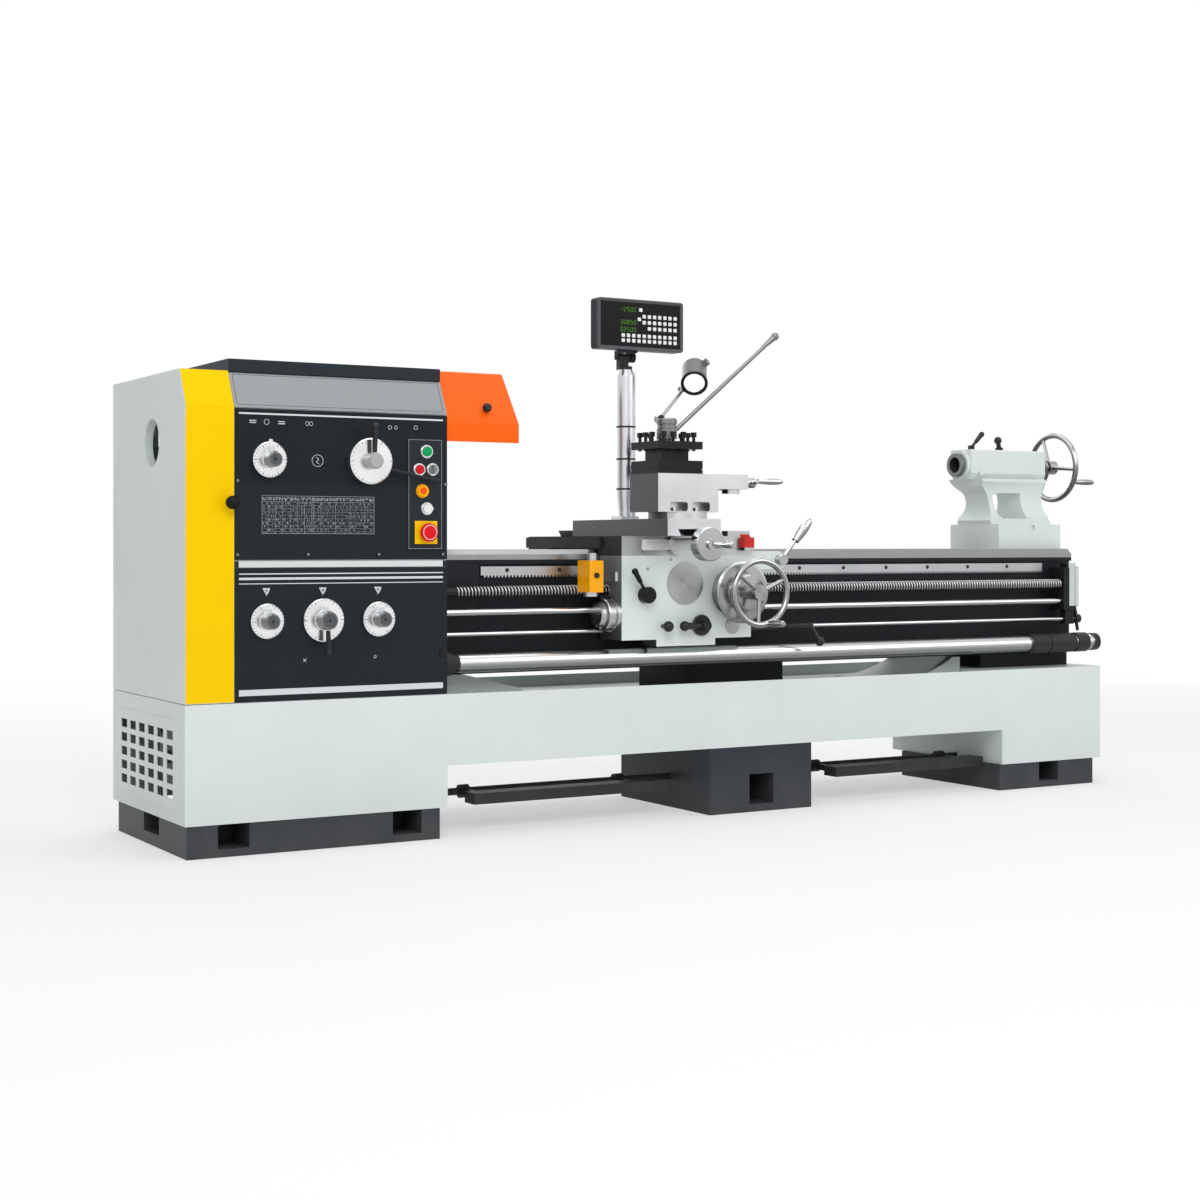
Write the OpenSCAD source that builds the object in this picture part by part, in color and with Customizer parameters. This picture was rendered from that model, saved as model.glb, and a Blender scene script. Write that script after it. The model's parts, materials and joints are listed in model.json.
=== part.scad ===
// Engine lathe: gap-bed machine of 660 mm swing and 2000 mm between centres.
// X runs along the bed towards the tailstock, Y to the back, Z up.
// The origin is on the floor, under the spindle axis, at the middle of the middle pedestal.

/* [Stand] */
// Length of the headstock cabinet along the bed
cabinet_w = 841; // [800:1:900]
// Depth of the headstock cabinet
cabinet_d = 720; // [690:1:780]
// Height of the stand's top above the floor
cabinet_top = 448; // [430:1:480]
// Distance of the stand's front ahead of the spindle axis
stand_front = 315; // [308:1:330]
// Depth of the chip tray
tray_d = 637; // [610:1:680]
// Length of the chip tray between the headstock cabinet and the end cabinet
tray_l = 2213; // [2150:1:2300]
// Height of the tray skirt's lower edge
skirt_z = 225; // [200:1:250]
// Depth of the tray's floor below the rim
tray_drop = 40; // [30:1:60]
// Length of the end cabinet
end_cabinet_w = 572; // [540:1:620]
// Offset of the step in the end cabinet's lower edge
end_notch = 73; // [60:1:90]
// Thickness of the folded sheet
sheet = 4; // [2:0.5:5]
// Height of the cast plinths
plinth_h = 96; // [90:1:110]
// Distance from the headstock cabinet to the middle of the pedestal
pedestal_x = 1194; // [1150:1:1250]
// Length of the middle pedestal
pedestal_w = 424; // [400:1:460]
// Depth of the middle pedestal
pedestal_d = 579; // [560:1:600]

/* [Fork pockets] */
// Width of a pocket in the end plinths
pocket_w = 97; // [80:1:110]
// Width of the pedestal's pocket
pedestal_pocket_w = 100; // [80:1:120]
// Height of the pedestal's pocket
pedestal_pocket_h = 103; // [80:1:110]
// Depth of every pocket
pocket_depth = 150; // [100:1:170]
// Height of the pockets' floor
pocket_floor = 23; // [15:1:30]

/* [Bed] */
// Width over the ways
bed_w = 400; // [390:1:410]
// Height of the bed from its foot pads to the flat ways
bed_h = 382; // [370:1:400]
// Height of the foot pads under the bed
foot_h = 52; // [45:1:60]
// Length of the gap piece beside the headstock
gap_l = 168; // [150:1:200]
// Distance from the bed's end to the end of the stand
bed_end_inset = 38; // [30:1:60]
// Thickness of the bed's long walls
bed_wall = 38; // [30:1:45]
// Height of the way rails
rail_h = 31; // [28:1:36]
// Height of the prismatic ways above the flat ways
vee_h = 16; // [12:1:18]
// Distance between the bed's cross ribs
rib_pitch = 286; // [240:1:320]

/* [Headstock] */
// Height of the spindle axis above the flat ways
centre_height = 340; // [330:1:350]
// Height of the headstock's top above the spindle axis
head_rise = 203; // [195:1:215]
// Height of the front's crease above the spindle axis
crease_rise = 95; // [85:1:105]
// Set-back of the front's top edge
slope_back = 54; // [45:1:60]
// Depth of the headstock casting behind the spindle axis
head_back = 290; // [270:1:300]
// Length of the end cover
cover_w = 148; // [140:1:160]
// Thickness of the end cover's sheet
cover_sheet = 3; // [2:0.5:4]
// Thickness of the front panels
panel_t = 6; // [4:1:8]
// Thickness of the top cover
lid_t = 38; // [30:1:45]
// Diameter of the hole in the end cover
cover_hole = 150; // [140:1:160]

/* [Spindle] */
// Bore through the spindle
spindle_bore = 105; // [95:1:110]
// Diameter of the spindle's bearing seats
spindle_d = 150; // [140:1:160]
// Diameter of the camlock nose
nose_d = 225; // [215:1:240]
// Thickness of the camlock nose
nose_t = 48; // [40:1:55]
// Pitch circle of the camlock holes
camlock_pcd = 172; // [168:1:180]
// Diameter of a camlock hole
camlock_hole = 23; // [20:1:26]

/* [Rods] */
// Diameter of the leadscrew over its thread
leadscrew_d = 35; // [30:1:38]
// Diameter of the feed rod
feed_rod_d = 24; // [20:1:28]
// Diameter of the control rod
control_rod_d = 15; // [12:1:18]
// Diameter of the guard rail
rail_d = 60; // [50:1:62]
// Distance of the rods ahead of the bed
rod_out = 45; // [42:1:50]
// Drop of the leadscrew below the flat ways
leadscrew_drop = 118; // [112:1:124]
// Drop of the feed rod below the leadscrew
feed_rod_drop = 66; // [60:1:70]
// Drop of the control rod below the feed rod
control_rod_drop = 69; // [64:1:74]
// Diameter of the brake shaft
brake_shaft_d = 24; // [20:1:28]

/* [Carriage] */
// Place of the carriage's middle along the bed
carriage_x = -320; // [-340:1:-300]
// Length of the saddle and of the apron
saddle_l = 513; // [505:1:520]
// Height of the saddle's top above the flat ways
saddle_h = 60; // [56:1:64]
// Distance of the apron's front ahead of the bed
apron_out = 140; // [135:1:150]
// Height of the apron
apron_h = 277; // [272:1:284]
// Radius of the carriage handwheel
apron_wheel_r = 116; // [105:1:120]
// Carriage handwheel's axis right of the carriage's middle
apron_wheel_x = 180; // [172:1:186]

/* [Slides] */
// Cross slide's middle left of the carriage's middle
cross_x = 72; // [66:1:78]
// Width of the cross slide
cross_w = 206; // [200:1:214]
// Length of the cross slide
cross_l = 617; // [590:1:640]
// Height of the cross slide
cross_h = 56; // [52:1:60]
// Overhang of the cross slide ahead of the saddle's front
cross_out = 152; // [140:1:160]
// Width of the compound slide
compound_w = 176; // [170:1:182]
// Length of the compound base
compound_l = 236; // [230:1:244]
// Height of the compound base with its swivel plate
compound_h = 100; // [96:1:106]
// Thickness of the swivel plate
swivel_t = 23; // [20:1:26]
// Length of the top slide
top_slide_l = 356; // [348:1:366]
// Height of the top slide
top_slide_h = 49; // [46:1:52]
// Running clearance of the slides
slide_gap = 0.1; // [0.05:0.05:0.2]

/* [Tool post] */
// Side of the square tool post
post_w = 172; // [166:1:176]
// Height of the seat under the tool slots
post_base_h = 43; // [38:1:48]
// Height of a tool slot
tool_slot_h = 38; // [34:1:44]
// Depth of a tool slot
tool_slot_d = 34; // [28:1:38]
// Thickness of the top plate
post_top_h = 25; // [22:1:28]
// Diameter of the clamp hub
clamp_hub_d = 68; // [62:1:72]

/* [Readout and lamp] */
// Height of the readout column
column_h = 512; // [490:1:530]
// Diameter of the readout column
column_d = 63; // [58:1:66]
// Width of the readout
readout_w = 340; // [320:1:360]
// Height of the readout
readout_h = 172; // [160:1:180]
// Thickness of the readout
readout_t = 47; // [40:1:54]
// Diameter of the lamp's head
lamp_d = 90; // [80:1:100]

/* [Tailstock] */
// Place of the tailstock's left face
tail_x = 1235; // [1225:1:1245]
// Length of the tailstock's base
tail_l = 320; // [310:1:326]
// Width of the tailstock's base
tail_w = 278; // [270:1:290]
// Height of the tailstock's base above the flat ways
tail_base_h = 111; // [106:1:116]
// Width of the barrel casting
barrel_w = 120; // [114:1:126]
// Length of the barrel casting
barrel_l = 382; // [372:1:390]
// Diameter of the quill
quill_d = 90; // [84:1:94]
// Radius of the tailstock handwheel
tail_wheel_r = 139; // [130:1:145]

/* [Hidden] */
$fn = 48;

// Colours
light_grey = [0.86, 0.90, 0.89];
charcoal = [0.15, 0.18, 0.20];
slate = [0.26, 0.29, 0.32];
steel = [0.72, 0.73, 0.74];
dark_steel = [0.33, 0.33, 0.34];
silver = [0.82, 0.83, 0.84];
black = [0.06, 0.06, 0.07];
yellow = [1.0, 0.80, 0.0];
orange = [1.0, 0.40, 0.06];

// Places along the bed
cab_x1 = -pedestal_x;
cab_x0 = cab_x1 - cabinet_w;
seam_x = cab_x1 + tray_l;
end_x = seam_x + end_cabinet_w;
bed_x1 = end_x - bed_end_inset;
way_x0 = cab_x1 + gap_l;
casing_x0 = cab_x0 + cover_w;
casing_x1 = cab_x1 - 2;
bed_x0 = casing_x0 + 8;
// Places across the bed
front_y = -stand_front;
cab_back_y = front_y + cabinet_d;
tray_back_y = front_y + tray_d;
bed_y = bed_w / 2;
rod_y = -bed_y - rod_out;
// Heights
tray_floor_z = cabinet_top - tray_drop;
bed_z0 = cabinet_top + foot_h;
way_z = bed_z0 + bed_h;
axis_z = way_z + centre_height;
head_z1 = axis_z + head_rise;
crease_z = axis_z + crease_rise;
leadscrew_z = way_z - leadscrew_drop;
feed_rod_z = leadscrew_z - feed_rod_drop;
control_rod_z = feed_rod_z - control_rod_drop;
rail_z = bed_z0 + 40;
rail_y = -bed_y - 80;
brake_y = -53;
brake_z = 106;
// Clearances
run_gap = 0.05;
curve_gap = 0.4;
seat_gap = 0.3;

// Helpers ------------------------------------------------------------------

// Points of an arc from angle a0 to a1 in n steps
function arc(cx, cy, r, a0, a1, n) =
    [for (i = [0:n]) [cx + r * cos(a0 + (a1 - a0) * i / n), cy + r * sin(a0 + (a1 - a0) * i / n)]];

// Corner points of a rectangle with rounded corners
function round_rect(x0, y0, x1, y1, r, n = 4) = concat(
    arc(x0 + r, y0 + r, r, 180, 270, n), arc(x1 - r, y0 + r, r, 270, 360, n),
    arc(x1 - r, y1 - r, r, 0, 90, n), arc(x0 + r, y1 - r, r, 90, 180, n));

module box(x0, x1, y0, y1, z0, z1) {
    translate([x0, y0, z0]) cube([x1 - x0, y1 - y0, z1 - z0]);
}

// A profile given as [y, z], carried along X
module along_x(x0, x1) {
    translate([x0, 0, 0]) rotate([90, 0, 90]) linear_extrude(x1 - x0) children();
}

// A profile given as [x, z], carried along Y
module along_y(y0, y1) {
    translate([0, y1, 0]) rotate([90, 0, 0]) linear_extrude(y1 - y0) children();
}

module rod_x(x0, x1, d, y, z) {
    translate([x0, y, z]) rotate([0, 90, 0]) cylinder(h = x1 - x0, d = d);
}

module rod_y(y0, y1, d, x, z) {
    translate([x, y1, z]) rotate([90, 0, 0]) cylinder(h = y1 - y0, d = d);
}

module rod_z(z0, z1, d, x, y) {
    translate([x, y, z0]) cylinder(h = z1 - z0, d = d);
}

// A round bar between two points
module bar(a, b, d, d2 = 0) {
    v = b - a;
    l = norm(v);
    translate(a) rotate([0, acos(v[2] / l), atan2(v[1], v[0])])
        cylinder(h = l, d1 = d, d2 = d2 > 0 ? d2 : d);
}

// A turned shape: its profile is [radius, distance along the axis], and it starts at the origin
module turned_x(x, y, z) {
    translate([x, y, z]) rotate([0, 90, 0]) rotate_extrude() children();
}

module turned_y(x, y, z) {
    translate([x, y, z]) rotate([90, 0, 0]) rotate_extrude() children();
}

// Stand --------------------------------------------------------------------

plinth_inset = 2;
left_plinth = [cab_x0 + 5, cab_x1 - 26, front_y + plinth_inset, cab_back_y - 43];
right_plinth = [seam_x + 62, bed_x1, front_y + plinth_inset, tray_back_y - 71];
pedestal_y0 = front_y + plinth_inset;
column_y = 190;

module plinth(p, pockets) {
    difference() {
        box(p[0], p[1], p[2], p[3], 0, plinth_h);
        for (x = pockets, y = [p[2] - 1, p[3] - pocket_depth])
            box(x, x + pocket_w, y, y + pocket_depth + 1, pocket_floor, plinth_h + 1);
    }
}

module floor_plinths() {
    color(slate) {
        // under the headstock, with the cast column that carries the bed
        difference() {
            union() {
                plinth(left_plinth, [left_plinth[0] + 94, left_plinth[1] - 159]);
                box(left_plinth[1] - 260, left_plinth[1] - 10, -column_y, column_y,
                    plinth_h - 1, cabinet_top - sheet);
            }
            box(left_plinth[0] - 1, left_plinth[0] + pocket_depth, -55, 95, pocket_floor + 14,
                plinth_h + 1);
            rod_x(left_plinth[1] - 50, left_plinth[1] + 1, brake_shaft_d + 2 * run_gap,
                  brake_y, brake_z);
        }
        // middle pedestal
        difference() {
            union() {
                box(-pedestal_w / 2, pedestal_w / 2, pedestal_y0, pedestal_y0 + pedestal_d,
                    0, skirt_z);
                box(-pedestal_w / 2 + 40, pedestal_w / 2 - 40, -column_y, column_y,
                    skirt_z - 1, tray_floor_z - sheet);
            }
            for (y = [pedestal_y0 - 1, pedestal_y0 + pedestal_d - pocket_depth])
                box(-pedestal_pocket_w / 2, pedestal_pocket_w / 2, y, y + pocket_depth + 1,
                    pocket_floor + 3, pocket_floor + 3 + pedestal_pocket_h);
            rod_x(-pedestal_w / 2 - 1, pedestal_w / 2 + 1, brake_shaft_d + 2 * run_gap,
                  brake_y, brake_z);
        }
        // under the tailstock end
        difference() {
            union() {
                plinth(right_plinth, [right_plinth[0] + 196]);
                box(right_plinth[0] + 40, right_plinth[1] - 40, -column_y, column_y,
                    plinth_h - 1, cabinet_top - sheet);
            }
            rod_x(right_plinth[0] - 1, right_plinth[0] + 70, brake_shaft_d + 2 * run_gap,
                  brake_y, brake_z);
        }
    }
}

grille_y = [-257, 351];
grille_z = [plinth_h + 35, cabinet_top - 49];
grille_t = 3;
grille_cols = 6;
grille_rows = 5;

module vent_grille() {
    pitch_y = 91;
    pitch_z = 43.5;
    y_mid = (grille_y[0] + grille_y[1]) / 2;
    z_mid = (grille_z[0] + grille_z[1]) / 2;
    difference() {
        box(cab_x0 - grille_t, cab_x0, grille_y[0], grille_y[1], grille_z[0], grille_z[1]);
        for (i = [0:grille_cols - 1], j = [0:grille_rows - 1])
            translate([cab_x0 - grille_t / 2, y_mid + (i - (grille_cols - 1) / 2) * pitch_y,
                       z_mid + (j - (grille_rows - 1) / 2) * pitch_z])
                cube([grille_t + 2, 62, 27], center = true);
    }
}

module headstock_base() {
    color(light_grey) vent_grille();
    color(light_grey) difference() {
        box(cab_x0, cab_x1, front_y, cab_back_y, plinth_h, cabinet_top);
        box(cab_x0 + sheet, cab_x1 - sheet, front_y + sheet, cab_back_y - sheet,
            plinth_h - 1, cabinet_top - sheet);
        // behind the vent grille
        box(cab_x0 - 1, cab_x0 + sheet + 1, grille_y[0] + 22, grille_y[1] - 22,
            grille_z[0] + 22, grille_z[1] - 22);
        // belt slot
        box(cab_x0 + 30, casing_x0 - 6, belt_y0, belt_y1, cabinet_top - sheet - 1,
            cabinet_top + 1);
        // brake shaft
        rod_x(cab_x1 - sheet - 1, cab_x1 + 1, brake_shaft_d + 4, brake_y, brake_z);
    }
}

motor_y = -20;
motor_z = 270;
motor_r = 105;
motor_x = cab_x0 + 165;
motor_l = cabinet_w - 511;
motor_pulley_d = 190;
pulley_x0 = cab_x0 + 48;
pulley_x1 = cab_x0 + 126;

module main_motor() {
    color(slate) {
        difference() {
            union() {
                rod_x(motor_x, motor_x + motor_l, 2 * motor_r, motor_y, motor_z);
                for (a = [0:15:345])
                    translate([motor_x + 25, motor_y, motor_z]) rotate([a, 0, 0])
                        translate([0, -2, motor_r - 8]) cube([motor_l - 90, 4, 22]);
                box(motor_x + 50, motor_x + motor_l - 60, motor_y - 110, motor_y + 110,
                    plinth_h, plinth_h + 18);
                for (y = [motor_y - 70, motor_y + 50])
                    box(motor_x + 60, motor_x + motor_l - 70, y, y + 20, plinth_h + 10,
                        motor_z - 60);
                rod_x(motor_x - 14, motor_x + 1, 2 * motor_r + 24, motor_y, motor_z);
                box(motor_x + 70, motor_x + 190, motor_y - 45, motor_y + 45, motor_z + 90,
                    motor_z + 150);
            }
            rod_x(motor_x - 15, motor_x + 20, 38.6, motor_y, motor_z);
        }
        rod_x(pulley_x0 - 6, motor_x + 19, 38, motor_y, motor_z);
    }
}

// Drive behind the end cover -----------------------------------------------

input_y = 175;
input_z = axis_z - 212;
input_pulley_d = 250;
groove_n = 4;
groove_pitch = 18;
belt_y0 = motor_y - motor_pulley_d / 2 - 12;
belt_y1 = input_y + input_pulley_d / 2 + 12;

// Half section of a grooved pulley, from its axis out
function pulley_section(r, bore) = concat(
    [[bore, 0], [bore, pulley_x1 - pulley_x0], [r, pulley_x1 - pulley_x0]],
    [for (i = [groove_n - 1:-1:0], p = [[0, 6.5], [-12, 4], [-12, -4], [0, -6.5]])
        [r + p[0], (pulley_x1 - pulley_x0) / 2 + (i - (groove_n - 1) / 2) * groove_pitch + p[1]]],
    [[r, 0]]);

// Outline of a belt round two pulleys, given its two radii
module belt_outline(r1, r2) {
    d = [input_y - motor_y, input_z - motor_z];
    a = atan2(d[1], d[0]);
    l = norm(d);
    t = acos((r1 - r2) / l);
    polygon(concat(
        [for (p = arc(0, 0, r1, a + t, a + 360 - t, 20)) p + [motor_y, motor_z]],
        [for (p = arc(0, 0, r2, a - t, a + t, 24)) p + [input_y, input_z]]));
}

module belts() {
    for (i = [0:groove_n - 1]) {
        x = (pulley_x0 + pulley_x1) / 2 + (i - (groove_n - 1) / 2) * groove_pitch;
        difference() {
            along_x(x - 3.6, x + 3.6)
                belt_outline(motor_pulley_d / 2 - 1, input_pulley_d / 2 - 1);
            along_x(x - 4.6, x + 4.6)
                belt_outline(motor_pulley_d / 2 - 11.6, input_pulley_d / 2 - 11.6);
        }
    }
}

// Change gears: a driver, an idler and a driven gear, all of one module
gear_m = 3;
gear_t = 24;
gear_x = casing_x0 - 34;
driver_z = 30;
idler_z = 64;
driven_z = 40;
driver_at = [-150, axis_z - 222];
driven_at = [rod_y, leadscrew_z - 44];

// Third corner of the triangle of gear centres, on the back side
function corner(a, b, ra, rb) =
    let (l = norm(b - a), u = (b - a) / l, s = (l * l + ra * ra - rb * rb) / (2 * l),
         h = sqrt(max(ra * ra - s * s, 0)))
    a + s * u - h * [u[1], -u[0]];

idler_at = corner(driver_at, driven_at, gear_m * (driver_z + idler_z) / 2 + 0.3,
                  gear_m * (driven_z + idler_z) / 2 + 0.3);

// Straight-flanked tooth outline, one tooth centred on angle a0
function gear_outline(z, a0) =
    let (r = gear_m * z / 2, step = 360 / z)
    [for (i = [0:z - 1], p = [[-0.29, -1.2], [-0.13, 0.9], [0.13, 0.9], [0.29, -1.2]])
        let (a = a0 + (i + p[0]) * step, q = r + p[1] * gear_m) [q * cos(a), q * sin(a)]];

module change_gear(at, z, a0) {
    along_x(gear_x, gear_x + gear_t) translate(at) difference() {
        polygon(gear_outline(z, a0));
        for (a = [0:60:300]) rotate(a) translate([gear_m * z / 4 + 5, 0]) circle(r = gear_m * z / 16);
    }
    rod_x(gear_x - 8, casing_x0, 30, at[0], at[1]);
}

module end_drive() {
    d1 = idler_at - driver_at;
    d2 = driven_at - idler_at;
    a1 = atan2(d1[1], d1[0]);
    a2 = atan2(d2[1], d2[0]);
    half = 180 / idler_z;
    // the idler's tooth turned so that it meets the driver's gap, and the driven gear likewise
    idler_a = a1 + 180 + half;
    phase = (a2 - idler_a) / (2 * half);
    driven_a = a2 + 180 + (phase - round(phase)) * 360 / driven_z + 180 / driven_z;
    color(steel) {
        change_gear(driver_at, driver_z, a1);
        change_gear(idler_at, idler_z, idler_a);
        change_gear(driven_at, driven_z, driven_a);
    }
    color(dark_steel) {
        turned_x(pulley_x0, motor_y, motor_z)
            polygon(pulley_section(motor_pulley_d / 2, 19.3));
        turned_x(pulley_x0, input_y, input_z)
            polygon(pulley_section(input_pulley_d / 2, 15));
        rod_x(pulley_x0 - 8, casing_x0, 44, input_y, input_z);
    }
    color(black) belts();
}

// Headstock ----------------------------------------------------------------

panel_y = front_y + panel_t;
leg_y = -bed_y - 1;
top_y = front_y + slope_back;
bore_gap = 2 * run_gap;
rod_seat = 40;
hinge_y = 75;
hinge_z = head_z1 + 32;
hinge_d = 16;
guard_x0 = casing_x1 + 16;
guard_x1 = guard_x0 + 258;

module headstock_casing() {
    color(light_grey) difference() {
        union() {
            along_x(casing_x0, casing_x1) polygon([
                [panel_y, cabinet_top], [leg_y, cabinet_top], [leg_y, way_z],
                [head_back, way_z], [head_back, head_z1], [top_y + panel_t, head_z1],
                [panel_y, crease_z]]);
            // electrical cabinet on the back
            box(casing_x0 + 8, casing_x1 - 8, head_back - 1, cab_back_y, cabinet_top + 35,
                head_z1 - 125);
            for (z = hinge_at)
                box(casing_x0 + 6.3, casing_x0 + 36, cab_back_y - 1, cab_back_y + 3, z, z + 90);
            // bracket of the guard's hinge
            box(casing_x1 - 1, casing_x1 + 12, hinge_y - 22, hinge_y + 22, head_z1 - 60, head_z1);
            box(casing_x1, casing_x1 + 12, hinge_y - 22, hinge_y + 22, head_z1 - 1, hinge_z + 14);
            rod_x(casing_x1, guard_x1 + 10, hinge_d, hinge_y, hinge_z);
        }
        rod_x(casing_x0 - 1, casing_x1 + 1, spindle_d + bore_gap, 0, axis_z);
        rod_x(casing_x1 - rod_seat, casing_x1 + 1, leadscrew_d - 7 + bore_gap, rod_y, leadscrew_z);
        rod_x(casing_x1 - rod_seat, casing_x1 + 1, feed_rod_d + bore_gap, rod_y, feed_rod_z);
        rod_x(casing_x1 - rod_seat, casing_x1 + 1, control_rod_d + bore_gap, rod_y, control_rod_z);
    }
}

panel_split = way_z - 30;
button_x = casing_x1 - 76;
button_z = axis_z - 153;
plate_t = 3;

// [x, z, radius of the cap] of every push button, counted from the middle of the button panel
buttons = [[5, 132, 15], [-20, 76, 14], [25, 77, 14], [-10, 10, 16], [6, -44.5, 14], [2, -118, 12]];

module button_holes(y0, y1) {
    for (b = buttons)
        rod_y(y0, y1, 2 * b[2] + 1, button_x + b[0], button_z + b[1]);
}

module front_panels() {
    color(charcoal) difference() {
        union() {
            box(casing_x0 + 1, casing_x1, front_y, panel_y, panel_split + 16, crease_z - 3);
            box(casing_x0 + 1, casing_x1, front_y, panel_y, cabinet_top + 2, panel_split - 8);
        }
        button_holes(front_y - 1, panel_y + 1);
    }
}

strip_z = [panel_split - 60, panel_split - 43, panel_split - 27, cabinet_top + 20];

module fascia() {
    color(silver) {
        along_x(casing_x0 + 1, casing_x1) polygon([
            [front_y, crease_z], [top_y, head_z1], [top_y + panel_t, head_z1], [panel_y, crease_z]]);
        box(casing_x0 + 1, casing_x1, front_y, panel_y, panel_split - 6, panel_split + 12);
        for (z = strip_z)
            box(casing_x0 + 14, casing_x1, front_y - 1.5, front_y, z, z + (z < way_z - 200 ? 18 : 7));
        box(casing_x0 + 14, casing_x1, front_y - 1, front_y, crease_z - 20, crease_z - 15);
        // data plate
        box(casing_x0 + 82, casing_x1 - 244, front_y - 1, front_y, axis_z - 279, axis_z - 161);
        // button panel with its bezels and lamp
        difference() {
            union() {
                box(button_x - 60, button_x + 60, front_y - plate_t, front_y, button_z - 172,
                    button_z + 172);
                for (b = buttons)
                    rod_y(front_y - plate_t - 4, front_y - plate_t + 1, 2 * b[2] + 9,
                          button_x + b[0], button_z + b[1]);
                rod_y(front_y - plate_t - 6, front_y - plate_t + 1, 18, button_x + 33,
                      button_z - 44.5);
                box(button_x - 38, button_x + 38, front_y - plate_t - 2, front_y - plate_t + 1,
                    button_z - 153, button_z - 83);
            }
            button_holes(front_y - plate_t - 5, front_y + 1);
        }
        // data screws of the panels
        for (p = [[casing_x0 + 10, -121], [casing_x0 + 10, -338], [casing_x0 + 230, -338],
                  [casing_x0 + 460, -338], [casing_x1 - 15, -338], [casing_x1 - 7, -121]])
            rod_y(front_y - 3, front_y, 14, p[0], axis_z + p[1]);
        for (x = [103, 283, 462])
            rod_y(front_y - 4, front_y, 18, casing_x0 + x, axis_z - 448);
        rod_y(front_y - 5, front_y, 24, casing_x1 - 14, axis_z - 645);
    }
}

module top_cover() {
    color(charcoal) difference() {
        union() {
            box(casing_x0, casing_x1, top_y - 4, cab_back_y, head_z1, head_z1 + lid_t);
        }
        box(casing_x0 - 1, casing_x1 + 1, cab_back_y - 6, cab_back_y + 1, head_z1 - 1,
            head_z1 + 12);
    }
}

// End cover: a shell open towards the casing, hung on its back edge
module cover_profile(inset) {
    polygon([
        [front_y + inset, cabinet_top + 2 + inset], [cab_back_y - inset, cabinet_top + 2 + inset],
        [cab_back_y - inset, head_z1 + 2 - inset], [top_y + inset * 0.8, head_z1 + 2 - inset],
        [front_y + inset, crease_z - inset * 0.2]]);
}

hinge_at = [cabinet_top + 130, axis_z - 80];

module end_cover() {
    color(light_grey) {
        difference() {
            along_x(cab_x0, casing_x0) cover_profile(0);
            along_x(cab_x0 + cover_sheet, casing_x0 + 1) cover_profile(cover_sheet);
            rod_x(cab_x0 - 1, cab_x0 + cover_sheet + 1, cover_hole, 0, axis_z);
            box(cab_x0 + 20, casing_x0 + 1, belt_y0, belt_y1, cabinet_top + 1,
                cabinet_top + cover_sheet + 3);
        }
        // hinge leaves and knuckles at the back edge
        for (z = hinge_at) {
            box(casing_x0 - 30, casing_x0, cab_back_y, cab_back_y + 4, z, z + 90);
            rod_z(z, z + 90, 12, casing_x0, cab_back_y);
        }
    }
}

module cover_trim() {
    color(yellow) along_x(cab_x0 + 2, casing_x0 - 1) polygon([
        [front_y - 2, cabinet_top + 4], [front_y, cabinet_top + 4], [front_y, crease_z],
        [top_y, head_z1 + 2], [top_y - 2, head_z1 + 2], [front_y - 2, crease_z + 1]]);
    color(black) {
        rod_y(front_y - 22, front_y - 2, 14, casing_x0 - 18, axis_z - 186);
        translate([casing_x0 - 18, front_y - 36, axis_z - 186]) sphere(r = 20);
    }
}

module spindle() {
    x0 = cab_x0 + 45;
    nose_x = casing_x1 + 2;
    color(steel) difference() {
        union() {
            rod_x(x0, casing_x0 - 6, 130, 0, axis_z);
            rod_x(casing_x0 - 7, nose_x, spindle_d, 0, axis_z);
            rod_x(nose_x - 0.5, nose_x + nose_t, nose_d, 0, axis_z);
            turned_x(nose_x + nose_t - 1, 0, axis_z)
                polygon([[0, 0], [70, 0], [69, 14], [66, 17], [0, 17]]);
        }
        rod_x(x0 - 1, nose_x + nose_t + 20, spindle_bore, 0, axis_z);
        for (a = [0:60:300])
            rod_x(nose_x + nose_t - 34, nose_x + nose_t + 1, camlock_hole,
                  camlock_pcd / 2 * cos(a), axis_z + camlock_pcd / 2 * sin(a));
    }
}

// Chuck guard: bent sheet that swings up about the hinge bar
module chuck_guard() {
    t = 2.5;
    color(orange) {
        difference() {
            union() {
                along_x(guard_x0, guard_x1) polygon([
                    [hinge_y, hinge_z + 12], [-155, hinge_z + 12], [-250, axis_z + 76],
                    [-250, axis_z + 16], [-250 + t, axis_z + 16], [-250 + t, axis_z + 75],
                    [-155 + t / 2, hinge_z + 12 - t], [hinge_y, hinge_z + 12 - t]]);
                rod_x(guard_x0, guard_x1, 24, hinge_y, hinge_z);
            }
            rod_x(guard_x0 - 1, guard_x1 + 1, hinge_d + bore_gap, hinge_y, hinge_z);
        }
        translate([guard_x0 + 152, -229.8, hinge_z - 124.6]) rotate([61, 0, 0]) cylinder(h = 29, d = 12);
        translate([guard_x0 + 152, -254.3, hinge_z - 110.6]) rotate([61, 0, 0]) cylinder(h = 16, d = 30);
    }
}

// Dials and their levers, turning on the front panels ----------------------

// Disc, hub and raised mark of a knob at the given place
module dial(x, z, disc_d, disc_t, hub_d, hub_t) {
    turned_y(x, front_y, z) polygon([
        [0, 0], [disc_d / 2 - 2, 0], [disc_d / 2, 2], [disc_d / 2, disc_t - 3],
        [disc_d / 2 - 3, disc_t], [hub_d / 2 + 2, disc_t], [hub_d / 2, disc_t + 3],
        [hub_d / 2 - 2, disc_t + hub_t - 3], [hub_d / 2 - 5, disc_t + hub_t],
        [0, disc_t + hub_t]]);
}

module range_knob() {
    color(silver) {
        dial(casing_x0 + 104, axis_z - 58, 106, 23, 48, 42);
        box(casing_x0 + 100, casing_x0 + 108, front_y - 67, front_y - 22, axis_z - 58,
            axis_z - 20);
    }
}

speed_x = casing_x0 + 423;
speed_z = axis_z - 56;
ring_t = 35;

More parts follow.
